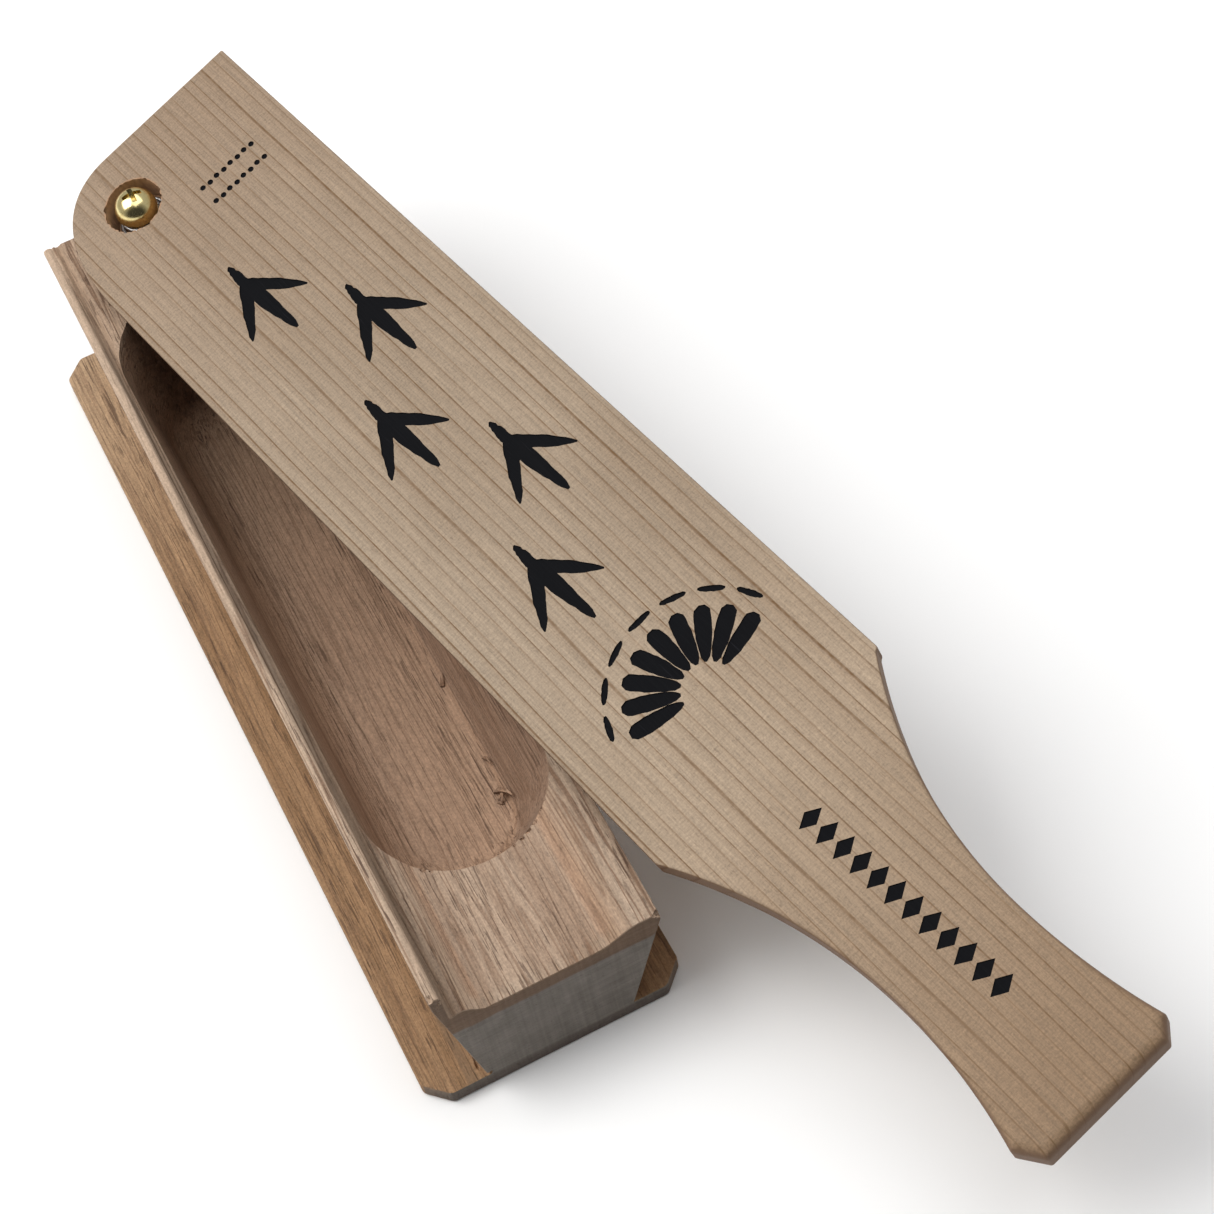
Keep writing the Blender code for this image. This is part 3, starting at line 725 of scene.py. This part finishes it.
lid_turn = LID_ATTITUDE.to_matrix().to_4x4()
lid_up = lid_turn.col[2].to_3d()
lid_origin = Vector((swing_axis.x, swing_axis.y, LID_TOP_OVER_PIVOT - ROCK_DEPTH * lid_up.z))
lid_origin += ROCK_DEPTH * lid_up
lid_placing = Matrix.Translation(lid_origin) @ lid_turn


def bezier(start, first, second, end, steps):
    points = []
    for step in range(steps + 1):
        t = step / steps
        weights = ((1 - t) ** 3, 3 * t * (1 - t) ** 2, 3 * t * t * (1 - t), t ** 3)
        pulls = list(zip(weights, (start, first, second, end)))
        points.append(tuple(sum(weight * point[axis] for weight, point in pulls) for axis in (0, 1)))
    return points


def neck_side(neck, start, end, outward):
    """One concave side of the handle: a tight arc from the shoulder, a wider one out to the end."""
    points = []
    for step in range(NECK_STEPS + 1):
        u = start + (end - start) * step / NECK_STEPS
        away = u - neck["centre"]
        radius = neck["shoulder_radius"] if away < 0 else neck["flare_radius"]
        points.append((u, neck["side"] + outward * (radius - math.sqrt(radius ** 2 - away ** 2))))
    return points


def lid_outline():
    outline = list(reversed(bezier(*FAR_CORNER, CORNER_STEPS)))
    outline.append((LID_SHOULDER - SHOULDER_BREAK, LID_LEFT))
    outline += neck_side(LEFT_NECK, LID_SHOULDER, HANDLE_LEFT_CORNER, -1)
    outline += [(HANDLE_END, side) for side in HANDLE_END_SIDES]
    outline += list(reversed(neck_side(RIGHT_NECK, LID_SHOULDER, HANDLE_RIGHT_CORNER, 1)))
    outline += [(LID_SHOULDER - SHOULDER_BREAK, LID_RIGHT), (LID_FAR_END, LID_RIGHT)]
    return outline


def prism(name, outline, low, high, axes="xyz"):
    """A flat outline given depth. axes says where its two directions and its depth point."""
    order = [axes.index(axis) for axis in "xyz"]
    rings = []
    for depth in (low, high):
        rings.append([tuple((p[0], p[1], depth)[index] for index in order) for p in outline])
    return loft(name, rings)


def facet_outline(edge, inward):
    outer = edge - inward * CUT_MARGIN
    inner = edge + inward * LID_FACET_WIDTH
    drop = LID_FACET_TAPER * (LID_FACET_WIDTH + CUT_MARGIN)
    return [(outer, drop - LID_THICKNESS), (inner, -LID_THICKNESS), (inner, -2 * LID_THICKNESS),
            (outer, -2 * LID_THICKNESS)]


def handle_underside_outline():
    centre_height = -HANDLE_THICKNESS - HANDLE_COVE_RADIUS
    thinned = LID_THICKNESS - HANDLE_THICKNESS
    sweep = math.acos((HANDLE_COVE_RADIUS - thinned - 0.0004) / HANDLE_COVE_RADIUS)
    outline = []
    for step in range(HANDLE_COVE_STEPS + 1):
        angle = sweep * (1 - step / HANDLE_COVE_STEPS)
        outline.append((HANDLE_START - HANDLE_COVE_RADIUS * math.sin(angle),
                        centre_height + HANDLE_COVE_RADIUS * math.cos(angle)))
    outline += [(HANDLE_END + CUT_MARGIN, -HANDLE_THICKNESS), (HANDLE_END + CUT_MARGIN, -2 * LID_THICKNESS),
                (outline[0][0], -2 * LID_THICKNESS)]
    return outline


def rounding(u, w):
    """The share of the widest rounding that an edge gets: little on the board, most at the handle's end."""
    if w < -0.002:
        return UNDERSIDE_ROUNDING
    on_handle = smooth_step(LID_SHOULDER - 0.002, LID_SHOULDER + 0.030, u)
    at_end = smooth_step(HANDLE_LEFT_CORNER - 0.020, HANDLE_LEFT_CORNER, u)
    return BOARD_ROUNDING + HANDLE_ROUNDING * on_handle + HANDLE_END_ROUNDING * at_end


lid = prism("paddle_lid", lid_outline(), -LID_THICKNESS, 0.0)
past_ends = (LID_FAR_END - CUT_MARGIN, HANDLE_END + CUT_MARGIN)
past_sides = (LID_LEFT - CUT_MARGIN, LID_RIGHT + CUT_MARGIN)
for edge, inward in ((LID_LEFT, 1), (LID_RIGHT, -1)):
    cut(lid, prism("facet", facet_outline(edge, inward), *past_ends, "yzx"))
cut(lid, prism("handle_underside", handle_underside_outline(), *past_sides, "xzy"))

edge_shape = bmesh.new()
edge_shape.from_mesh(lid.data)
weights = edge_shape.edges.layers.float.new("bevel_weight_edge")
for border in edge_shape.edges:
    if len(border.link_faces) == 2 and border.calc_face_angle(0.0) > math.radians(25):
        middle = (border.verts[0].co + border.verts[1].co) / 2
        border[weights] = rounding(middle.x, middle.z)
edge_shape.to_mesh(lid.data)
edge_shape.free()
soften = lid.modifiers.new("soften", "BEVEL")
soften.limit_method = "WEIGHT"
soften.width = WIDEST_ROUNDING
soften.segments = ROUNDING_STEPS
soften.use_clamp_overlap = False
apply_modifiers(lid)


def board_place(finish):
    """Where a point lies on the board: along it, across it and up from its top."""
    inputs = {"Vector": finish.place(), "Location": lid_origin, "Rotation": LID_ATTITUDE}
    return finish.node("Mapping", inputs, vector_type="TEXTURE")


def lid_wood():
    """Pale wood with straight growth lines along it. Its saw-cut edges and its handle are browner, partly
    their own tone and partly painted shade, and the board is painted lighter from the neck on.
    """
    wood = Finish("straight_grained_wood")
    mix, step = wood.mix, wood.step
    board = board_place(wood)
    u, v, w = wood.split(board)
    upright = wood.node("VectorMath", {0: wood.facing(), 1: lid_up}, "Value", operation="DOT_PRODUCT")

    wander = wood.noise(board, (9, 14, 14), 2.0) - 0.5
    uneven = wood.noise(wood.join(0.0, v, 0.0), (0, 170, 0), 1.0) - 0.5
    ring = (v - 0.30 * w + 0.0024 * wander + 0.0040 * uneven) / 0.0027
    age = wood.math("FRACT", ring)
    number = wood.math("FLOOR", ring)
    vigour = step(0.30, 0.65, wood.noise(wood.join(number, 0.0, 0.0), (0.37, 1, 1), 0.0))
    ticks = wood.noise(board, (650, 1300, 1300), 2.0)
    line = step(0.84, 0.93, age) * step(1.0, 0.96, age)
    late = line * (0.30 + 0.60 * vigour) * (0.10 + 1.4 * ticks)
    ripening = step(0.35, 0.95, age) * (0.4 + 0.6 * vigour)

    fibre = wood.noise(board, (70, 2300, 2300), 2.0, 0.6)
    ripple = wood.noise(board, (2600, 600, 600), 1.0)
    speckle = wood.noise(board, (2300, 3000, 3000), 1.0, 0.7)
    tone = wood.noise(board, (11, 28, 28), 3.0)
    fleck = step(0.66, 0.76, wood.noise(board, (330, 2600, 2600), 1.0))

    colour = mix(step(0.30, 0.70, tone), (0.325, 0.243, 0.168), (0.390, 0.300, 0.214))
    colour = mix(step(0.080, -0.010, u) * 0.50, colour, (0.310, 0.210, 0.138))
    colour = mix(ripening * 0.34, colour, (0.250, 0.160, 0.090))
    # the handle is painted darker and browner: partly its own tone, partly painted shade towards the handle's
    # end
    handle = step(0.175, 0.272, u)
    colour = mix(handle * 0.82, colour, (0.225, 0.140, 0.077))
    # painted light: the board is painted darker over its far part and lighter from the neck to the handle's
    # end
    painted_light_along_board = 0.87 + 0.15 * step(0.130, 0.195, u)
    colour = wood.darken(colour, (0.12 + 0.70 * fibre + 0.46 * ripple + 0.62 * speckle) * painted_light_along_board)
    colour = mix(wood.clamp(late * 1.15), colour, (0.150, 0.082, 0.036))
    colour = mix(fleck * 0.35, colour, (0.150, 0.096, 0.060))

    # the lid's sides are painted darker and browner: partly saw-cut wood, partly painted shade on faces
    # turned from the light
    sawn_and_shaded_sides = step(0.93, 0.45, wood.math("ABSOLUTE", upright))
    colour = mix(sawn_and_shaded_sides * 0.76, colour, (0.145, 0.075, 0.040))
    away = wood.math("SQRT", u * u + v * v)
    scorch = wood.noise(board, (900, 900, 500), 3.0, 0.6)
    ragged = away + 0.0006 * (scorch - 0.5)
    bored = step(COUNTERBORE_RADIUS + 0.0005, COUNTERBORE_RADIUS, ragged)
    scorched = mix(scorch, (0.200, 0.098, 0.050), (0.560, 0.350, 0.210))
    colour = mix(bored, colour, scorched)

    roughness = wood.clamp(0.64 + 0.16 * fibre - 0.08 * handle)
    relief = fibre * 0.35 + speckle * 0.35 + ripple * 0.25 - late * 0.3 - fleck * 0.4 + bored * scorch
    return wood.finish(colour, roughness, relief, 0.4, 0.00014, gloss=0.3)


lid.data.materials.clear()
lid.data.materials.append(lid_wood())


def drilled_hole(name, radius, bottom, top):
    """The shape a drill removes: true in the depth, a little torn out where it broke the surface."""
    rings = []
    for depth, share in ((bottom, 0.0), *BORE_TORN_SHARES, (top, 1.0)):
        ring = []
        for step in range(BORE_STEPS):
            angle = 2 * math.pi * step / BORE_STEPS
            spot = around(angle)
            coarse, fine = (noise.noise(spot * pitch) for pitch in BORE_TEAR_PITCHES)
            torn = max(0.0, coarse + BORE_TEAR_FINE * fine + BORE_TEAR_BIAS)
            ring.append(spot * (radius + BORE_TEAR * share * torn) + Vector((0.0, 0.0, depth)))
        rings.append(ring)
    return loft(name, rings)


cut(lid, drilled_hole("counterbore", COUNTERBORE_RADIUS, -COUNTERBORE_DEPTH, CUT_MARGIN))
cut(lid, cylinder("lid_hole", LID_HOLE_RADIUS, -2 * LID_THICKNESS, 0.0, 64))


def black_ink():
    """Black ink soaked into cut wood, with a little of the grain showing through."""
    ink = Finish("black_ink")
    fibre = ink.noise(board_place(ink), (90, 2600, 2600), 3.0, 0.6)
    thin = ink.step(0.62, 0.80, fibre)
    colour = ink.mix(thin * 0.6, (0.0028, 0.0030, 0.0042), (0.022, 0.022, 0.026))
    return ink.finish(colour, 0.55 + 0.25 * fibre, fibre, 0.6, 0.00018, gloss=0.07)


STROKE_STEPS = 12
STROKE_BELLY = 1.3
STROKE_TIP = 0.45


def stroke_outline(start, end, widths, rng, roughness=0.00012):
    """A brush stroke from start to end, with its width at the start, the middle and the end."""
    start, end = Vector(start), Vector(end)
    along = end - start
    across = Vector((-along.y, along.x)).normalized()
    sides = ([], [])
    for step in range(STROKE_STEPS + 1):
        t = step / STROKE_STEPS
        width = widths[0] * (1 - t) ** 2 + 2 * widths[1] * STROKE_BELLY * t * (1 - t) + widths[2] * t ** 2
        if step in (0, STROKE_STEPS):
            width *= STROKE_TIP
        centre = start + along * t
        for side, sign in zip(sides, (1, -1)):
            side.append(centre + across * (sign * width / 2 + rng.uniform(-roughness, roughness)))
    return [tuple(p) for p in sides[0]] + [tuple(p) for p in reversed(sides[1])]


def add_prism(shape, outline, low, high):
    rows = [[shape.verts.new((p[0], p[1], depth)) for p in outline] for depth in (low, high)]
    for index in range(len(outline)):
        following = (index + 1) % len(outline)
        shape.faces.new((rows[0][index], rows[0][following], rows[1][following], rows[1][index]))
    shape.faces.new(rows[0])
    shape.faces.new(rows[1])


def ink_cutter(name, outlines, material):
    """Prisms over the outlines, each a hair deeper than the last so that no two floors coincide."""
    shape = bmesh.new()
    for order, outline in enumerate(outlines):
        add_prism(shape, outline, -INK_DEPTH - INK_DEPTH_STEP * order, INK_CUTTER_TOP)
    cutter = mesh_object(name, shape)
    cutter.data.materials.append(material)
    return cutter


class ShapeTree:
    """A Geometry Nodes tree with named inputs. It ends in real geometry that has its material."""

    def __init__(self, name, start, **sizes):
        self.tree = bpy.data.node_groups.new(name, "GeometryNodeTree")
        for size, kind in {start: "Geometry", **sizes}.items():
            self.tree.interface.new_socket(name=size, in_out="INPUT", socket_type="NodeSocket" + kind)
        self.given = self.tree.nodes.new("NodeGroupInput").outputs

    def node(self, kind, inputs, **settings):
        """Adds a node with the values or links of its sockets and its settings; gives its outputs."""
        added = self.tree.nodes.new(kind)
        for key, value in settings.items():
            setattr(added, key, value)
        for key, value in inputs.items():
            if isinstance(value, bpy.types.NodeSocket):
                self.tree.links.new(value, added.inputs[key])
            else:
                added.inputs[key].default_value = value
        return added.outputs

    def end(self, shape, material):
        self.tree.interface.new_socket(name="Shape", in_out="OUTPUT", socket_type="NodeSocketGeometry")
        real = self.node("GeometryNodeRealizeInstances", {0: shape})
        painted = self.node("GeometryNodeSetMaterial", {"Geometry": real[0], "Material": material})
        self.node("NodeGroupOutput", {0: painted[0]})
        return self.tree


def grown_mesh(piece, tree, **sizes):
    """Gives the piece the tree, sets its named sizes and returns the result as a plain mesh."""
    modifier = piece.modifiers.new(tree.name, "NODES")
    modifier.node_group = tree
    for item in tree.interface.items_tree:
        if item.item_type == "SOCKET" and item.in_out == "INPUT" and item.name in sizes:
            modifier[item.identifier] = sizes[item.name]
    piece.update_tag()
    bpy.context.view_layer.update()
    mesh = bpy.data.meshes.new_from_object(piece.evaluated_get(bpy.context.evaluated_depsgraph_get()))
    piece.modifiers.clear()
    return mesh


def row_of_marks(material):
    """Repeats a mark in a row, swaying to alternate sides and turning a little at random."""
    row = ShapeTree("row_of_marks", "Mark", Count="Int", Start="Vector", Step="Vector", Sway="Vector",
                    Turn="Float", Seed="Int")
    given = row.given
    line = row.node("GeometryNodeMeshLine", {"Count": given["Count"], "Start Location": given["Start"],
                                             "Offset": given["Step"]})
    index = row.node("GeometryNodeInputIndex", {})
    odd = row.node("ShaderNodeMath", {0: index[0], 1: 2.0}, operation="MODULO")
    sway = row.node("ShaderNodeVectorMath", {0: given["Sway"], "Scale": odd[0]}, operation="SCALE")
    moved = row.node("GeometryNodeSetPosition", {"Geometry": line[0], "Offset": sway[0]})
    backwards = row.node("ShaderNodeMath", {0: given["Turn"], 1: -1.0}, operation="MULTIPLY")
    chance = row.node("FunctionNodeRandomValue", {2: backwards[0], 3: given["Turn"], "Seed": given["Seed"]},
                      data_type="FLOAT")
    angles = row.node("ShaderNodeCombineXYZ", {2: chance[1]})
    copies = row.node("GeometryNodeInstanceOnPoints", {"Points": moved[0], "Instance": given["Mark"],
                                                       "Rotation": angles[0]})
    return row.end(copies[0], material)


ink_material = black_ink()
marks_tree = row_of_marks(ink_material)
brush = random.Random(5)


def outward(degrees):
    return around(math.radians(degrees)).xy


# each toe's heading in degrees, its length and its width
TRACK_TOES = ((0.0, 0.0165, 0.0030), (36.0, 0.0135, 0.0027), (-36.0, 0.0135, 0.0027),
              (176.0, 0.0062, 0.0022))
TRACK_HEEL = 0.0012
toes = []
for heading, reach, width in TRACK_TOES:
    aim = outward(heading)
    widths = (width * 0.95, width * 1.05, width * 0.30)
    toes.append(stroke_outline(-TRACK_HEEL * aim, reach * aim, widths, brush))
track = ink_cutter("bird_tracks", toes, ink_material)
track.data = grown_mesh(track, marks_tree, Count=5, Start=(0.0350, 0.0045, 0.0), Step=(0.0232, 0.0, 0.0),
                        Sway=(0.0, 0.0135, 0.0), Turn=0.10, Seed=3)
cut(lid, track, crossing=True)

FAN_CENTRE = Vector((0.1700, 0.0105))
FAN_BLADES = 9
FAN_BLADE_REACH = (0.0050, 0.0160)
FAN_DASHES = 7
FAN_DASH_RADIUS = 0.0190
FAN_DASH_HALF = 0.0026
fan_blades = []
for blade in range(FAN_BLADES):
    aim = outward(180 - 76 + 19 * blade)
    root, tip = (FAN_CENTRE + reach * aim for reach in FAN_BLADE_REACH)
    fan_blades.append(stroke_outline(root, tip, (0.0012, 0.0034, 0.0028), brush, 0.00008))
for dash in range(FAN_DASHES):
    aim = outward(180 - 66 + 22 * dash)
    half = FAN_DASH_HALF * Vector((-aim.y, aim.x))
    middle = FAN_CENTRE + FAN_DASH_RADIUS * aim
    fan_blades.append(stroke_outline(middle - half, middle + half, (0.0007, 0.0014, 0.0007), brush, 0.00006))
cut(lid, ink_cutter("fan", fan_blades, ink_material), crossing=True)

DIAMOND = [(-0.0016, 0.0), (0.0, -0.0027), (0.0016, 0.0), (0.0, 0.0027)]
handle_row = ink_cutter("handle_marks", [DIAMOND], ink_material)
handle_row.data = grown_mesh(handle_row, marks_tree, Count=12, Start=(0.2010, 0.0066, 0.0),
                             Step=(0.0040, 0.0002, 0.0), Sway=(0.0, 0.0, 0.0), Turn=0.03, Seed=8)
cut(lid, handle_row)

DOT_RADIUS = 0.00065
DOT_SIDES = 10
DOT_ROWS = (0.0094, 0.0142)
dot = [tuple(DOT_RADIUS * outward(360 * corner / DOT_SIDES)) for corner in range(DOT_SIDES)]
for row in DOT_ROWS:
    dots = ink_cutter("small_marks", [dot], ink_material)
    dots.data = grown_mesh(dots, marks_tree, Count=8, Start=(row, 0.0125, 0.0), Step=(0.0, 0.0019, 0.0),
                           Sway=(0.0002, 0.0, 0.0), Turn=0.4, Seed=2)
    cut(lid, dots)
lid.data.transform(lid_placing)

crisp = lid.modifiers.new("crisp", "WEIGHTED_NORMAL")
crisp.keep_sharp = True
shade(lid)
apply_modifiers(lid)
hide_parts("lid_paddle")
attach(lid, "lid")


# ----------------------------------------
# The pivot screw: a polished brass wood screw with a high round head and a cross recess, turned
# into the box. The lid hangs on it, free to swing and rock under its head.

screw_low, screw_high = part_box("pivot_screw")
HEAD_UNDERSIDE = swing_axis.z
HEAD_RADIUS = (screw_high.x - screw_low.x) / 2
HEAD_RIM = 0.0009
HEAD_DOME = screw_high.z - HEAD_UNDERSIDE - HEAD_RIM
SCREW_RADIUS = 0.0021
SCREW_LENGTH = HEAD_UNDERSIDE - screw_low.z
SCREW_POINT = 0.0040
TURNED_STEPS = 96
RECESS_REACH = 0.0024
RECESS_HALF_WIDTH = 0.00050
RECESS_DEPTH = 0.0022
RECESS_LEVELS = ((-RECESS_DEPTH, 0.35), (0.0, 1.0), (0.001, 1.25))
DOME_STEPS = 20
HEAD_EDGE = 0.0001


def turned(name, profile, segments):
    """A solid of revolution about Z: the profile runs from the axis at the top down to the axis."""
    shape = bmesh.new()
    top = shape.verts.new((0.0, 0.0, profile[0][1]))
    bottom = shape.verts.new((0.0, 0.0, profile[-1][1]))
    rings = []
    for radius, height in profile[1:-1]:
        ring = []
        for step in range(segments):
            angle = 2 * math.pi * step / segments
            ring.append(shape.verts.new((radius * math.cos(angle), radius * math.sin(angle), height)))
        rings.append(ring)
    for index in range(segments):
        following = (index + 1) % segments
        shape.faces.new((top, rings[0][index], rings[0][following]))
        shape.faces.new((bottom, rings[-1][following], rings[-1][index]))
        for upper, lower in zip(rings, rings[1:]):
            shape.faces.new((upper[index], lower[index], lower[following], upper[following]))
    return mesh_object(name, shape)


def recess_cutter():
    """A cross that narrows towards its bottom."""
    reach, half = RECESS_REACH, RECESS_HALF_WIDTH
    rings = []
    for depth, share in RECESS_LEVELS:
        ring = []
        for quarter in range(4):
            turn = Matrix.Rotation(-quarter * math.pi / 2, 2)
            for corner in ((half, half), (reach * share, half), (reach * share, -half)):
                x, y = turn @ Vector(corner)
                ring.append((x, y, HEAD_RIM + HEAD_DOME + depth))
        rings.append(ring)
    return loft("recess", rings)


screw_profile = [(0.0, HEAD_RIM + HEAD_DOME)]
for step in range(1, DOME_STEPS + 1):
    angle = math.pi / 2 * step / DOME_STEPS
    screw_profile.append((HEAD_RADIUS * math.sin(angle), HEAD_RIM + HEAD_DOME * math.cos(angle)))
screw_profile += [(HEAD_RADIUS, HEAD_EDGE), (HEAD_RADIUS - HEAD_EDGE, 0.0), (SCREW_RADIUS, 0.0),
                  (SCREW_RADIUS, SCREW_POINT - SCREW_LENGTH), (0.0, -SCREW_LENGTH)]
screw = turned("brass_pivot_screw", screw_profile, TURNED_STEPS)
cut(screw, recess_cutter())
screw.data.transform(Matrix.Translation((swing_axis.x, swing_axis.y, HEAD_UNDERSIDE)))


def polished_brass():
    """Bright brass with fine turning marks and a little tarnish."""
    brass = Finish("polished_brass_head")
    place = brass.place()
    x, y, z = brass.split(place)
    u = x - swing_axis.x
    v = y - swing_axis.y
    away = brass.math("SQRT", u * u + v * v)
    lathe = brass.noise(brass.join(away, 0.0, z), (5200, 0, 5200), 1.0)
    tarnish = brass.noise(place, (700, 700, 700), 3.0, 0.6)
    colour = brass.mix(brass.step(0.40, 0.75, tarnish) * 0.5, (0.820, 0.690, 0.340), (0.620, 0.450, 0.160))
    roughness = brass.clamp(0.11 + 0.10 * tarnish + 0.05 * lathe)
    return brass.finish(colour, roughness, lathe, 0.06, 0.0001, metallic=1.0)


shade(screw)
screw.data.materials.append(polished_brass())
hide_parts("pivot_screw")
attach(screw, "box")


# ----------------------------------------
# The tension spring: a short tapered coil of steel wire around the screw, its wide end on the
# counterbore's floor and its narrow end under the screw's head. It presses the lid down.

WIRE_RADIUS = 0.0004
SPRING_TOP_RADIUS = 0.0031
SPRING_BOTTOM_RADIUS = 0.0052
SPRING_TURNS = 3.0
SPRING_STEPS_PER_TURN = 48
SPRING_GAP = 0.0003
WIRE_SIDES = 12
FLAT_SHARE = 1 / 6
CLIMB_SHARE = 2 / 3
WELD_DISTANCE = 0.000001

coil_line = bpy.data.curves.new("coil_line", "CURVE")
coil_line.dimensions = "3D"
coil = coil_line.splines.new("POLY")
coil_count = int(SPRING_TURNS * SPRING_STEPS_PER_TURN)
coil.points.add(coil_count)
floor_lift = SPRING_GAP + WIRE_RADIUS - COUNTERBORE_DEPTH
top_centre = Vector((swing_axis.x, swing_axis.y, HEAD_UNDERSIDE - SPRING_GAP - WIRE_RADIUS))
lid_swing_turn = Matrix.Rotation(LID_ATTITUDE.z, 4, "Z")
for step in range(coil_count + 1):
    along = step / coil_count
    direction = around(2 * math.pi * SPRING_TURNS * along)
    rise = min(max((along - FLAT_SHARE) / CLIMB_SHARE, 0.0), 1.0)
    low_point = lid_placing @ (SPRING_BOTTOM_RADIUS * direction + Vector((0.0, 0.0, floor_lift)))
    high_point = top_centre + SPRING_TOP_RADIUS * (lid_swing_turn @ direction)
    coil.points[step].co = (*low_point.lerp(high_point, rise), 1.0)
spring = link("tapered_spring", coil_line)


def spring_steel():
    """Drawn steel wire, grey with faint lengthwise die marks and a few oily patches."""
    steel = Finish("drawn_spring_wire")
    place = steel.place()
    patch = steel.noise(place, (500, 500, 500), 3.0, 0.6)
    drawn = steel.noise(place, (300, 300, 4000), 2.0)
    colour = steel.mix(steel.step(0.45, 0.75, patch), (0.560, 0.560, 0.570), (0.330, 0.300, 0.270))
    return steel.finish(colour, 0.28 + 0.22 * patch, drawn, 0.1, 0.0001, metallic=1.0)


def round_wire(material):
    """Sweeps a round wire along a line."""
    sweep = ShapeTree("round_wire", "Line", Radius="Float", Sides="Int")
    given = sweep.given
    ring = sweep.node("GeometryNodeCurvePrimitiveCircle", {"Resolution": given["Sides"],
                                                           "Radius": given["Radius"]})
    wire = sweep.node("GeometryNodeCurveToMesh", {"Fill Caps": True, "Curve": given["Line"],
                                                  "Profile Curve": ring[0]})
    return sweep.end(wire[0], material)


steel_material = spring_steel()
swept = grown_mesh(spring, round_wire(steel_material), Radius=WIRE_RADIUS, Sides=WIRE_SIDES)
bpy.data.objects.remove(spring, do_unlink=True)
spring_shape = bmesh.new()
spring_shape.from_mesh(swept)
bmesh.ops.remove_doubles(spring_shape, verts=spring_shape.verts, dist=WELD_DISTANCE)
spring = mesh_object("tapered_spring", spring_shape)
spring.data.materials.append(steel_material)
shade(spring)
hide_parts("tension_spring")
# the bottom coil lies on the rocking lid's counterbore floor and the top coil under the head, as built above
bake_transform(spring)
